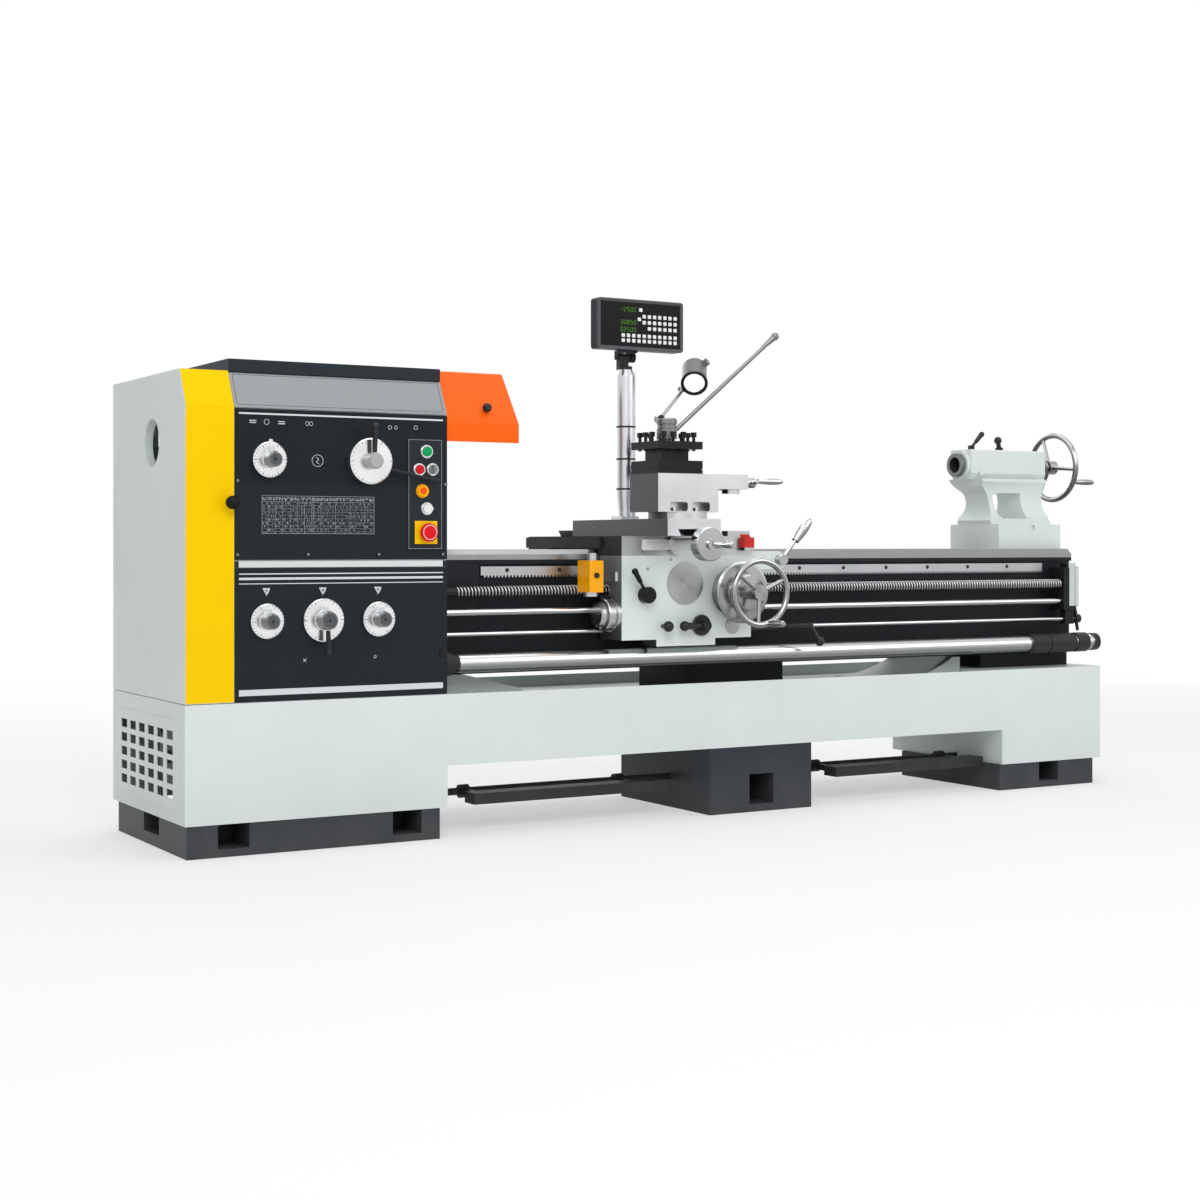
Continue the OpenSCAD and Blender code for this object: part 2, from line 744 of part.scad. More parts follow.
module speed_ring() {
    color(silver) {
        turned_y(speed_x, front_y, speed_z) polygon([
            [0, 0], [66, 0], [70, 4], [70, ring_t - 4], [66, ring_t], [0, ring_t]]);
        bar([speed_x + 60, front_y - 24, speed_z - 22], [speed_x + 212, front_y - 32, speed_z - 54], 9);
        bar([speed_x + 190, front_y - 31, speed_z - 49.5],
            [speed_x + 226, front_y - 33, speed_z - 57], 13);
    }
}

module speed_lever() {
    y0 = front_y - ring_t - 0.2;
    color(black) {
        turned_y(speed_x, y0, speed_z) polygon([[0, 0], [24, 0], [24, 30], [20, 35], [0, 35]]);
        bar([speed_x, y0 - 18, speed_z + 18], [speed_x, y0 - 24, speed_z + 104], 14, 18);
        translate([speed_x, y0 - 24, speed_z + 104]) sphere(r = 10.5);
    }
}

module feed_dial(x, disc_d, hub_d) {
    z = leadscrew_z - 77;
    dial(x, z, disc_d, 16, hub_d, 42);
    box(x - 4, x + 4, front_y - 59, front_y - 15, z, z + hub_d * 0.72);
}

module feed_knob_left() {
    color(silver) feed_dial(casing_x0 + 99, 104, 50);
}

module feed_knob_centre() {
    x = casing_x0 + 277;
    z = leadscrew_z - 77;
    color(silver) {
        feed_dial(x, 130, 58);
        bar([x, front_y - 42, z - 16], [x, front_y - 48, z - 96], 13, 17);
        translate([x, front_y - 48, z - 96]) sphere(r = 10);
    }
}

module feed_knob_right() {
    color(silver) feed_dial(casing_x0 + 457, 106, 50);
}

// Push button number i: a cap that sinks into the panel
module push_button(i, proud) {
    b = buttons[i];
    rod_y(front_y - plate_t - proud, front_y - 1, 2 * b[2], button_x + b[0], button_z + b[1]);
}

module start_button() {
    color([0.05, 0.55, 0.25]) push_button(0, 8);
}

module stop_button() {
    color([0.8, 0.05, 0.05]) push_button(1, 8);
}

module mode_switch() {
    b = buttons[2];
    color(black) {
        push_button(2, 8);
        box(button_x + b[0] - 4, button_x + b[0] + 4, front_y - plate_t - 20,
            front_y - plate_t - 7, button_z + b[1] - 13, button_z + b[1] + 13);
    }
}

module jog_button() {
    color(yellow) push_button(3, 9);
}

module coolant_button() {
    color([0.93, 0.93, 0.92]) push_button(4, 8);
}

module emergency_button() {
    b = buttons[5];
    color([0.85, 0.04, 0.04]) {
        push_button(5, 18);
        turned_y(button_x + b[0], front_y - plate_t - 15, button_z + b[1])
            polygon([[0, 0], [22, 0], [29, 6], [29, 11], [24, 16], [0, 18]]);
    }
}

// Bed ----------------------------------------------------------------------

vee_y = bed_y - 25;
tail_vee_y = 105;
vee_half = 20;
flange_t = 30;
wall_y0 = bed_y - 12 - bed_wall;
wall_y1 = bed_y - 12;
gap_floor = way_z - 180;

// Half section of the bed on one side, s = -1 front or 1 back
module bed_side(s) {
    polygon([for (p = [
        [bed_y, way_z], [80, way_z], [80, way_z - rail_h], [wall_y0, way_z - rail_h - 20],
        [wall_y0, bed_z0 + flange_t], [130, bed_z0 + flange_t], [130, bed_z0], [bed_y, bed_z0],
        [bed_y, bed_z0 + flange_t], [wall_y1, bed_z0 + flange_t], [wall_y1, way_z - rail_h],
        [bed_y, way_z - rail_h]]) [s * p[0], p[1]]]);
}

// Prismatic way, or with a clearance the groove that rides on it
module vee(y, c = 0) {
    polygon([
        [y - vee_half - 1, way_z - 1], [y - vee_half, way_z + c], [y - 5, way_z + vee_h + c],
        [y + 5, way_z + vee_h + c], [y + vee_half, way_z + c], [y + vee_half + 1, way_z - 1]]);
}

module bed() {
    color(light_grey) {
        difference() {
            union() {
                for (s = [-1, 1]) along_x(bed_x0, bed_x1) bed_side(s);
                along_x(way_x0 + 0.3, bed_x1) vee(-vee_y);
                along_x(way_x0 + 0.3, bed_x1) vee(tail_vee_y);
                for (x = [bed_x0:rib_pitch:bed_x1 - 100])
                    box(x, x + 25, -wall_y0 - 2, wall_y0 + 2, bed_z0, gap_floor - 30);
                box(bed_x1 - 25, bed_x1, -wall_y0 - 2, wall_y0 + 2, bed_z0, gap_floor - 30);
                // feet
                box(bed_x0 + 80, cab_x1 - 110, -column_y, column_y, cabinet_top, bed_z0 + 1);
                box(-pedestal_w / 2 + 5, pedestal_w / 2 - 5, -150, 150, tray_floor_z, bed_z0 + 1);
                box(seam_x + 80, bed_x1 - 13, -wall_y1, wall_y1, cabinet_top, bed_z0 + 1);
            }
            box(cab_x1, way_x0, -bed_y - 1, bed_y + 1, gap_floor, way_z + 20);
        }
        // gap piece
        difference() {
            union() {
                box(cab_x1 + seat_gap, way_x0 - 0.1, -bed_y, bed_y, gap_floor, way_z);
                along_x(cab_x1 + seat_gap, way_x0 - 0.1) vee(-vee_y);
                along_x(cab_x1 + seat_gap, way_x0 - 0.1) vee(tail_vee_y);
            }
            box(cab_x1 - 1, way_x0 + 1, -80, 80, gap_floor + 30, way_z + 1);
        }
    }
}

rack_z = way_z - 67;
rack_t = 12;
rack_m = 4;

module rack() {
    n = floor((bed_x1 - 138 - way_x0) / (rack_m * 3.1416)) - 2;
    x0 = way_x0 - 19;
    x1 = x0 + 8 + n * rack_m * 3.1416 + 24;
    color(steel) {
        along_y(-wall_y1 - rack_t, -wall_y1) polygon(concat(
            [[x0 + 25, rack_z + 28], [x1, rack_z + 28], [x1, rack_z]],
            [for (i = [n - 1:-1:0], p = [[0.36, 0], [0.18, -rack_m * 1.8], [-0.18, -rack_m * 1.8],
                                         [-0.36, 0]])
                [x0 + 40 + (i + p[0]) * rack_m * 3.1416, rack_z + p[1]]],
            [[x0 + 25, rack_z]]));
        for (i = [0:11])
            rod_y(-wall_y1 - rack_t - 0.6, -wall_y1 - rack_t + 1, 14, x0 + 120 + i * 195,
                  rack_z + 16);
    }
}

bracket_x0 = bed_x1 - 103;
bracket_x1 = bed_x1 - 45;

module end_bracket() {
    color(charcoal) difference() {
        union() {
            box(bracket_x0, bracket_x1, rod_y - 22, -wall_y1, feed_rod_z - 34, leadscrew_z + 62);
            box(bracket_x0 + 14, bracket_x1, rod_y - 14, rod_y + 14, control_rod_z - 20,
                feed_rod_z - 33);
            // cover plate and stop block
            box(bracket_x1 - 1, bracket_x1 + 14, rod_y - 26, -wall_y1, feed_rod_z - 20,
                leadscrew_z + 66);
            box(bracket_x0 + 20, bracket_x1 + 6, rod_y - 18, rod_y + 20, leadscrew_z + 61,
                leadscrew_z + 80);
        }
        rod_x(bracket_x0 - 1, bracket_x1 + 8, leadscrew_d - 7 + bore_gap, rod_y, leadscrew_z);
        rod_x(bracket_x0 - 1, bracket_x1 + 8, feed_rod_d + bore_gap, rod_y, feed_rod_z);
        rod_x(bracket_x0 - 1, bracket_x1 + 20, control_rod_d + bore_gap, rod_y, control_rod_z);
    }
}

module guard_rail() {
    x0 = casing_x1;
    color(steel) {
        rod_x(x0, end_x + 7, rail_d, rail_y, rail_z);
        rod_x(x0, x0 + 24, rail_d + 16, rail_y, rail_z);
        rod_x(end_x - 340, end_x - 250, rail_d + 14, rail_y, rail_z);
        rod_x(end_x - 246, end_x - 120, rail_d + 14, rail_y, rail_z);
        rod_x(end_x - 108, end_x - 50, rail_d + 14, rail_y, rail_z);
        rod_x(end_x - 22, end_x + 7, rail_d + 6, rail_y, rail_z);
        // brackets to the bed's foot
        for (x = [end_x - 310, end_x - 210])
            box(x, x + 46, rail_y + rail_d / 2 - 6, -bed_y, bed_z0 + 2, bed_z0 + flange_t - 2);
    }
}

// Chip tray with the two chutes, and the end cabinet -----------------------

chute_l = 293;

module chip_tray() {
    color(light_grey) difference() {
        box(cab_x1, seam_x, front_y, tray_back_y, skirt_z, cabinet_top);
        box(cab_x1 + sheet, seam_x - sheet, front_y + sheet, tray_back_y - sheet, tray_floor_z,
            cabinet_top + 1);
        box(cab_x1 - 1, seam_x + 1, front_y + sheet, tray_back_y - sheet, skirt_z - 1,
            tray_floor_z - sheet);
    }
    color(charcoal) {
        // sloped chute at the headstock end
        along_y(-column_y + 20, column_y - 20) polygon([
            [cab_x1 + 60, tray_floor_z], [cab_x1 + 344, tray_floor_z], [cab_x1 + 340, tray_floor_z + 36],
            [cab_x1 + 130, bed_z0 - 4], [cab_x1 + 60, bed_z0 - 4]]);
        // curved chute at the tailstock end
        chute_h = bed_z0 - 12 - tray_floor_z;
        chute_r = (chute_l * chute_l + chute_h * chute_h) / (2 * chute_h);
        along_y(-column_y + 20, column_y - 20) polygon(concat(
            [[seam_x - 6, tray_floor_z], [seam_x - 6, bed_z0 - 8]],
            arc(seam_x - 40 - chute_l, tray_floor_z + 4 + chute_r, chute_r,
                270 + asin(chute_l / chute_r), 270, 9),
            [[seam_x - 40 - chute_l, tray_floor_z]]));
    }
}

module end_cabinet() {
    n = seam_x + end_notch;
    color(light_grey) difference() {
        along_y(front_y, tray_back_y) polygon([
            [seam_x, skirt_z], [n, skirt_z], [n, plinth_h], [end_x, plinth_h],
            [end_x, cabinet_top], [seam_x, cabinet_top]]);
        along_y(front_y + sheet, tray_back_y - sheet) polygon([
            [seam_x + sheet, skirt_z + sheet], [n + sheet, skirt_z + sheet],
            [n + sheet, plinth_h - 1], [end_x - sheet, plinth_h - 1],
            [end_x - sheet, cabinet_top - sheet], [seam_x + sheet, cabinet_top - sheet]]);
        rod_x(n - 1, n + sheet + 1, brake_shaft_d + 4, brake_y, brake_z);
    }
}

// Rods ---------------------------------------------------------------------

rod_x0 = casing_x1 - rod_seat + 2;

module leadscrew() {
    color(steel) {
        rod_x(rod_x0, bracket_x1 + 6, leadscrew_d - 7, rod_y, leadscrew_z);
        rod_x(casing_x1 + 60, bracket_x0 - 4, leadscrew_d, rod_y, leadscrew_z);
    }
}

module feed_rod() {
    color(steel) rod_x(rod_x0, bracket_x1 + 6, feed_rod_d, rod_y, feed_rod_z);
}

module control_rod() {
    color(steel) {
        rod_x(rod_x0, bracket_x1 + 40, control_rod_d, rod_y, control_rod_z);
        rod_x(casing_x1 + 2, casing_x1 + 22, control_rod_d + 12, rod_y, control_rod_z);
    }
    color(black) {
        rod_x(bracket_x1 + 16, bracket_x1 + 38, 34, rod_y, control_rod_z);
        bar([bracket_x1 + 26, rod_y, control_rod_z - 6],
            [bracket_x1 + 26, rod_y - 8, control_rod_z - 46], 14, 12);
        bar([bracket_x1 + 26, rod_y, control_rod_z + 6],
            [bracket_x1 + 20, rod_y + 4, control_rod_z + 54], 15, 12);
    }
}

pedal_drop = 4;

module pedal(x0, x1, arms) {
    // tread: a channel, open below
    difference() {
        box(x0, x1, brake_y - 182, brake_y - 112, brake_z - 21, brake_z + 14);
        box(x0 + 4, x1 - 4, brake_y - 176, brake_y - 118, brake_z - 22, brake_z + 9);
    }
    for (x = arms) {
        box(x - 7, x + 7, brake_y - 170, brake_y, brake_z - 12, brake_z + 9);
        rod_x(x - 16, x + 16, 44, brake_y, brake_z);
    }
}

module brake_pedal() {
    color(charcoal) {
        rod_x(left_plinth[1] - 48, right_plinth[0] + 68, brake_shaft_d, brake_y, brake_z);
        pedal(cab_x1 + 134, cab_x1 + 864, [cab_x1 + 184, cab_x1 + 774]);
        pedal(pedestal_w / 2 + 168, right_plinth[0] - 12,
              [pedestal_w / 2 + 208, right_plinth[0] - 70]);
    }
}

// Carriage -----------------------------------------------------------------

saddle_x0 = carriage_x - saddle_l / 2;
saddle_x1 = carriage_x + saddle_l / 2;
saddle_z = way_z + slide_gap;
saddle_z1 = way_z + saddle_h;
apron_y = -bed_y - apron_out;
apron_z1 = way_z - 5;
apron_z0 = apron_z1 - apron_h;
saddle_back = 300;
wiper_t = 10;
cross_mid = carriage_x - cross_x;
dove_h = 22;
screw_z = saddle_z1 - 27;
cross_screw_d = 20;

// Dovetail outline: half width at the foot and at the top; c is the clearance round it
module dovetail(half, h, c = 0) {
    polygon([[-half - c, -0.01], [-half - h * 0.5 - c, h + c], [half + h * 0.5 + c, h + c],
             [half + c, -0.01]]);
}

module saddle() {
    color(dark_steel) {
        difference() {
            union() {
                box(saddle_x0, saddle_x1, -bed_y - 1, saddle_back, saddle_z, saddle_z1);
                box(saddle_x0, saddle_x1, apron_y, -bed_y - 1, apron_z1, saddle_z1);
                // wipers over the ways
                for (x = [saddle_x0 - wiper_t, saddle_x1])
                    box(x, x + wiper_t, -bed_y - 15, saddle_back, saddle_z + vee_h + 4, saddle_z1 - 3);
                // keep plate under the rear way
                box(saddle_x0 + 30, saddle_x1 - 30, bed_y + 0.4, bed_y + 36,
                    way_z - rail_h - 14, saddle_z + 1);
                box(saddle_x0 + 30, saddle_x1 - 30, wall_y1 + 1, bed_y + 36,
                    way_z - rail_h - 14, way_z - rail_h - slide_gap);
                // dovetail of the cross slide
                translate([cross_mid, saddle_back, saddle_z1]) rotate([90, 0, 0])
                    linear_extrude(saddle_back - apron_y) dovetail(52, dove_h);
                // housing of the cross screw
                rod_y(apron_y - 20, apron_y + 1, 74, cross_mid + 25, screw_z);
                rod_y(apron_y - 166, apron_y + 1, 40, cross_mid + 25, screw_z);
                // name plate carrier and stop block
                box(saddle_x0 + 80, saddle_x0 + 230, apron_y - 3, apron_y + 1, saddle_z1 - 56,
                    saddle_z1 - 22);
                box(saddle_x1 - 92, saddle_x1 - 2, apron_y + 4, apron_y + 40, saddle_z1 - 1,
                    saddle_z1 + 18);
                box(saddle_x1 - 42, saddle_x1 - 2, apron_y - 24, apron_y + 5, saddle_z1 - 48,
                    saddle_z1 - 4);
            }
            along_x(saddle_x0 - 1, saddle_x1 + 1) vee(-vee_y, slide_gap);
            box(saddle_x0 - 1, saddle_x1 + 1, tail_vee_y - vee_half - 6, tail_vee_y + vee_half + 6,
                way_z - 1, way_z + vee_h + 6);
            rod_y(apron_y - 167, apron_y + 20, cross_screw_d + bore_gap, cross_mid + 25, screw_z);
        }
    }
}

wheel_x = carriage_x + apron_wheel_x;
wheel_z = way_z - 128;
dial_x = saddle_x0 - 98;
dial_y = apron_y + 33;

module apron() {
    color(light_grey) difference() {
        union() {
            box(saddle_x0, saddle_x1, apron_y, -bed_y - 1, apron_z0, apron_z1);
            box(saddle_x0 + 134, saddle_x1 - 146, apron_y, apron_y + 90, apron_z0 - 23, apron_z0 + 1);
            // housing of the engage lever
            along_y(apron_y, apron_y + 60) polygon(concat(
                [[saddle_x1 - 1, way_z - 52], [saddle_x1 + 110, way_z - 52]],
                arc(saddle_x1 + 118, way_z - 22, 31, 285, 450, 8),
                [[saddle_x1, way_z + 9], [saddle_x1, apron_z1], [saddle_x1 - 1, apron_z1]]));
            // arm of the thread dial
            box(dial_x + 26, saddle_x0 + 1, dial_y - 8, dial_y + 12, leadscrew_z + 30,
                leadscrew_z + 60);
        }
        rod_x(saddle_x0 - 1, saddle_x1 + 1, leadscrew_d + bore_gap, rod_y, leadscrew_z);
        rod_x(saddle_x0 - 1, saddle_x1 + 1, feed_rod_d + bore_gap, rod_y, feed_rod_z);
        rod_x(saddle_x0 - 1, saddle_x1 + 1, control_rod_d + bore_gap, rod_y, control_rod_z);
    }
}

module apron_covers() {
    cap_z = feed_rod_z - 14;
    cap_y = rod_y - 40;
    color(silver) {
        rod_y(apron_y - 5, apron_y, 138, saddle_x0 + 246, leadscrew_z + 20);
        difference() {
            union() {
                rod_x(saddle_x0 - 14, saddle_x0, 116, cap_y, cap_z);
                turned_x(saddle_x0 - 64, cap_y, cap_z) polygon([
                    [0, 0], [36, 0], [40, 4], [40, 18], [50, 22], [52, 26], [52, 52], [0, 52]]);
            }
            rod_x(saddle_x0 - 65, saddle_x0 + 1, feed_rod_d + bore_gap, rod_y, feed_rod_z);
        }
        for (p = [[60, 90], [150, 120]])
            rod_y(apron_y - 3, apron_y, 10, saddle_x0 + p[0] + 40, leadscrew_z + p[1] - 20);
        rod_y(apron_y - 3, apron_y, 56, wheel_x, wheel_z - 114);
    }
}

module thread_dial() {
    color([1.0, 0.69, 0.0]) difference() {
        box(dial_x - 26, dial_x + 26, dial_y - 38, dial_y + 39, leadscrew_z - 5, leadscrew_z + 98);
        rod_y(dial_y - 39, dial_y - 30, 18, dial_x, leadscrew_z + 50);
    }
    color(steel) {
        rod_z(leadscrew_z + 98, leadscrew_z + 122, 32, dial_x + 6, dial_y);
        rod_z(leadscrew_z - 19, leadscrew_z - 5, 50, dial_x, dial_y);
    }
    color(black) rod_y(dial_y - 44, dial_y - 30, 17, dial_x, leadscrew_z + 50);
}

// Spoked wheel in the plane across its axis; the axis points to the viewer and starts at the origin
module spoked_wheel(r, rim_r, hub_r, hub_l, dish, spokes, a0) {
    rotate_extrude() translate([r - rim_r, dish + hub_l / 2]) circle(r = rim_r);
    cylinder(h = hub_l, r = hub_r);
    for (i = [0:spokes - 1]) {
        a = a0 + i * 360 / spokes;
        bar([hub_r * 0.5 * cos(a), hub_r * 0.5 * sin(a), hub_l / 2],
            [(r - rim_r) * cos(a), (r - rim_r) * sin(a), dish + hub_l / 2], rim_r * 1.5,
            rim_r * 1.2);
    }
}

// Turned grip along its axis, from the origin
module grip(l, r) {
    rotate_extrude() polygon(concat(
        [[0, 0], [r * 0.7, 0]], [for (i = [0:6]) [r * (0.72 + 0.28 * sin(i * 25)), l * (0.06 + i * 0.14)]],
        [[r * 0.55, l], [0, l]]));
}

module apron_handwheel() {
    r = apron_wheel_r;
    color(silver) {
        turned_y(wheel_x, apron_y, wheel_z) polygon([
            [0, 0], [82, 0], [84, 4], [84, 42], [102, 46], [104, 50], [104, 62], [96, 66], [62, 68],
            [60, 72], [60, 108], [56, 112], [24, 114], [24, 150], [0, 150]]);
        translate([wheel_x, apron_y - 149, wheel_z]) rotate([90, 0, 0]) {
            spoked_wheel(r, 10, 26, 22, 6, 3, 25);
            translate([(r - 10) * cos(-72), (r - 10) * sin(-72), 20]) grip(84, 12);
        }
    }
}

module half_nut_lever() {
    x = saddle_x0 + 87;
    z = leadscrew_z - 16;
    color(charcoal) {
        turned_y(x, apron_y, z) polygon([[0, 0], [25, 0], [27, 3], [27, 33], [24, 36], [0, 36]]);
        bar([x - 8, apron_y - 22, z + 10], [x - 54, apron_y - 40, z + 68], 9, 12);
        bar([x - 34, apron_y - 32, z + 43], [x - 62, apron_y - 43, z + 78], 15, 19);
        translate([x - 62, apron_y - 43, z + 78]) sphere(r = 11);
    }
}

low_z = apron_z0 + 44;

module feed_knob() {
    color(black) {
        rod_y(apron_y - 24, apron_y - 0.2, 14, carriage_x - 98, low_z);
        translate([carriage_x - 98, apron_y - 36, low_z]) sphere(r = 18);
    }
}

module feed_lever() {
    x = carriage_x + 52;
    color(charcoal) {
        turned_y(x, apron_y, low_z) polygon([[0, 0], [34, 0], [35, 2], [35, 10], [33, 12], [16, 12],
                                             [16, 44], [13, 48], [0, 48]]);
        translate([x, apron_y - 30, low_z]) rotate([0, -90, 3.5]) {
            cylinder(h = 60, d1 = 15, d2 = 12);
            translate([0, 0, 44]) cylinder(h = 36, d1 = 22, d2 = 25);
            translate([0, 0, 86]) sphere(r = 17);
        }
    }
}

engage_x = saddle_x1 + 118;
engage_z = way_z - 20;

module engage_lever() {
    y = apron_y - 16;
    color(silver) {
        rod_y(apron_y - 28, apron_y, 36, engage_x, engage_z);
        bar([engage_x, y, engage_z], [engage_x + 56, y - 6, engage_z + 70], 14, 12);
        translate([engage_x + 52, y - 6, engage_z + 65])
            rotate([0, acos(70 / norm([56, 70])), 0]) grip(96, 19);
    }
}

module control_lever() {
    x = saddle_x1;
    color(black) difference() {
        union() {
            rod_x(x, x + 176, 34, rod_y, control_rod_z);
            bar([x + 160, rod_y - 8, control_rod_z], [x + 252, apron_y - 4, control_rod_z + 4], 16);
            translate([x + 252, apron_y - 4, control_rod_z + 4]) sphere(r = 9);
            bar([x + 252, apron_y - 4, control_rod_z + 4], [x + 270, apron_y - 26, control_rod_z - 44],
                14, 12);
            translate([x + 271, apron_y - 28, control_rod_z - 50]) sphere(r = 17);
        }
        rod_x(x - 1, x + 177, control_rod_d + bore_gap, rod_y, control_rod_z);
    }
}

// Cross slide and compound -------------------------------------------------

cross_y0 = apron_y - cross_out;
cross_z = saddle_z1;
cross_z1 = cross_z + cross_h;
comp_x = cross_mid + 27;
post_x = cross_mid - 3;
post_y = apron_y + 11;
comp_x0 = post_x - 89;
comp_z = cross_z1 + swivel_t;
comp_z1 = cross_z1 + compound_h;
comp_y0 = post_y - compound_w / 2;
comp_y1 = post_y + compound_w / 2;
top_z = comp_z1 + slide_gap;
top_z1 = comp_z1 + top_slide_h;

module cross_slide() {
    color(steel) difference() {
        box(cross_mid - cross_w / 2, cross_mid + cross_w / 2, cross_y0, cross_y0 + cross_l,
            cross_z, cross_z1);
        translate([cross_mid, cross_y0 + cross_l + 1, cross_z]) rotate([90, 0, 0])
            linear_extrude(cross_l + 2) dovetail(52, dove_h, slide_gap);
        // way cover grooves at the back
        for (i = [0:2])
            box(cross_mid - cross_w / 2 - 1, cross_mid + cross_w / 2 + 1,
                cross_y0 + cross_l - 60 + i * 22, cross_y0 + cross_l - 52 + i * 22, cross_z1 - 6,
                cross_z1 + 1);
    }
}

cross_crank_x = cross_mid + 25;
top_x1 = comp_x0 + top_slide_l;
top_back = 90;
gib_d = 60;
gib_t = 14;

module cross_crank() {
    y = apron_y - 175;
    color(steel) {
        rod_y(y, apron_y + 15, cross_screw_d, cross_crank_x, screw_z);
        turned_y(cross_crank_x, y + 8, screw_z) polygon([
            [0, 0], [50, 0], [54, 4], [55, 8], [55, 42], [52, 46], [18, 47], [18, 56], [0, 56]]);
        bar([cross_crank_x, y - 44, screw_z], [cross_crank_x + 44, y - 44, screw_z - 3], 20, 17);
        translate([cross_crank_x + 44, y - 36, screw_z - 3]) rotate([90, 0, 0]) grip(62, 12);
    }
}

module compound_base() {
    color(steel) {
        difference() {
            union() {
                rod_z(cross_z1, comp_z + 1, 196, comp_x + 13, post_y);
                box(comp_x0, comp_x0 + compound_l, comp_y0, comp_y1, comp_z, comp_z1);
                translate([comp_x0, post_y, comp_z1]) rotate([90, 0, 90])
                    linear_extrude(compound_l) dovetail(40, 18);
            }
            for (x = [comp_x0 + 45, comp_x0 + 132])
                translate([0, comp_y0 + 34, 0]) rotate([90, 0, 0]) linear_extrude(40)
                    polygon(round_rect(x, comp_z + 2, x + 70, comp_z + 33, 9));
            // pocket that the gib lock runs into
            box(top_x1 - 45 - gib_d / 2 - top_back, comp_x0 + compound_l + 1, comp_y0 + 39 - gib_d / 2,
                comp_y0 + 41 + gib_d / 2, comp_z1 - gib_t - 0.5, comp_z1 + 0.5);
        }
        // clamp bolts in the windows
        for (x = [comp_x0 + 72, comp_x0 + 159])
            rod_z(comp_z + 2, comp_z + 14, 18, x, comp_y0 + 18);
    }
}

top_screw_z = top_z + 26;
top_screw_d = 16;

module top_slide() {
    color(steel) difference() {
        union() {
            box(comp_x0, top_x1, comp_y0, comp_y1, top_z, top_z1);
            // gib lock under the overhang
            rod_z(top_z - gib_t, top_z, gib_d, top_x1 - 44, comp_y0 + 40);
        }
        translate([comp_x0 - 1, post_y, comp_z1]) rotate([90, 0, 90])
            linear_extrude(top_slide_l + 2) dovetail(40, 18, slide_gap);
        rod_x(top_x1 - 26, top_x1 + 1, top_screw_d + bore_gap, post_y + 4, top_screw_z);
    }
}

module top_crank() {
    y = post_y + 4;
    color(steel) {
        rod_x(top_x1 - 24, top_x1 + 40, top_screw_d, y, top_screw_z);
        rod_x(top_x1 + 0.2, top_x1 + 34, 50, y, top_screw_z);
        turned_x(top_x1 + 33, y, top_screw_z) polygon([[0, 0], [14, 0], [14, 30], [18, 34], [18, 52],
                                                       [12, 58], [0, 58]]);
        bar([top_x1 + 78, y, top_screw_z], [top_x1 + 78, y - 46, top_screw_z + 4], 16, 14);
        translate([top_x1 + 70, y - 46, top_screw_z + 4]) rotate([0, 90, 0]) grip(102, 11);
    }
}

// Tool post ----------------------------------------------------------------

slot_z = top_z1 + post_base_h;
plate_z = slot_z + tool_slot_h;
post_z1 = plate_z + post_top_h;

module tool_post() {
    h = post_w / 2;
    core = h - tool_slot_d;
    color(charcoal) {
        difference() {
            union() {
                box(post_x - h, post_x + h, post_y - h, post_y + h, top_z1, slot_z);
                box(post_x - core, post_x + core, post_y - core, post_y + core, slot_z - 1,
                    plate_z + 1);
                box(post_x - h, post_x + h, post_y - h, post_y + h, plate_z, post_z1);
            }
            // seam between the post and its seat
            for (a = [0:90:270]) translate([post_x, post_y, 0]) rotate([0, 0, a])
                box(h - 2, h + 1, -h - 1, h + 1, top_z1 + 13, top_z1 + 16);
        }
        // tool clamping screws, three to a side
        for (a = [0:90:270], s = [-56, -20, 20]) translate([post_x, post_y, 0]) rotate([0, 0, a]) {
            rod_z(plate_z - 5, post_z1 + 20, 11, s, -h + 16);
            box(s - 7, s + 7, -h + 9, -h + 23, post_z1 + 16, post_z1 + 32);
        }
    }
}

module clamp_lever() {
    r = clamp_hub_d / 2;
    z = post_z1;
    color(silver) {
        turned(z, r);
        bar([post_x + r * 0.6, post_y - 8, z + 34], [post_x + 353, post_y - 121, z + 359], 15, 13);
        bar([post_x + 313, post_y - 108.2, z + 322], [post_x + 353, post_y - 121, z + 359], 13, 24);
        translate([post_x + 353, post_y - 121, z + 359]) sphere(r = 13.5);
    }
}

// Hub of the clamp lever
module turned(z, r) {
    translate([post_x, post_y, z]) rotate_extrude() polygon([
        [0, 0], [8, 0], [8, 11], [r, 11], [r, 44], [r - 4, 46], [r - 4, 58], [r, 60], [r, 74],
        [r - 5, 79], [0, 79]]);
}

// Readout and lamp ---------------------------------------------------------

column_x = cross_mid - 23;
column_yy = -100;
column_z1 = cross_z1 + column_h;
readout_z = column_z1 + 64;
readout_y = -150;
readout_pivot = [column_x, column_yy + 22, column_z1 + 46];

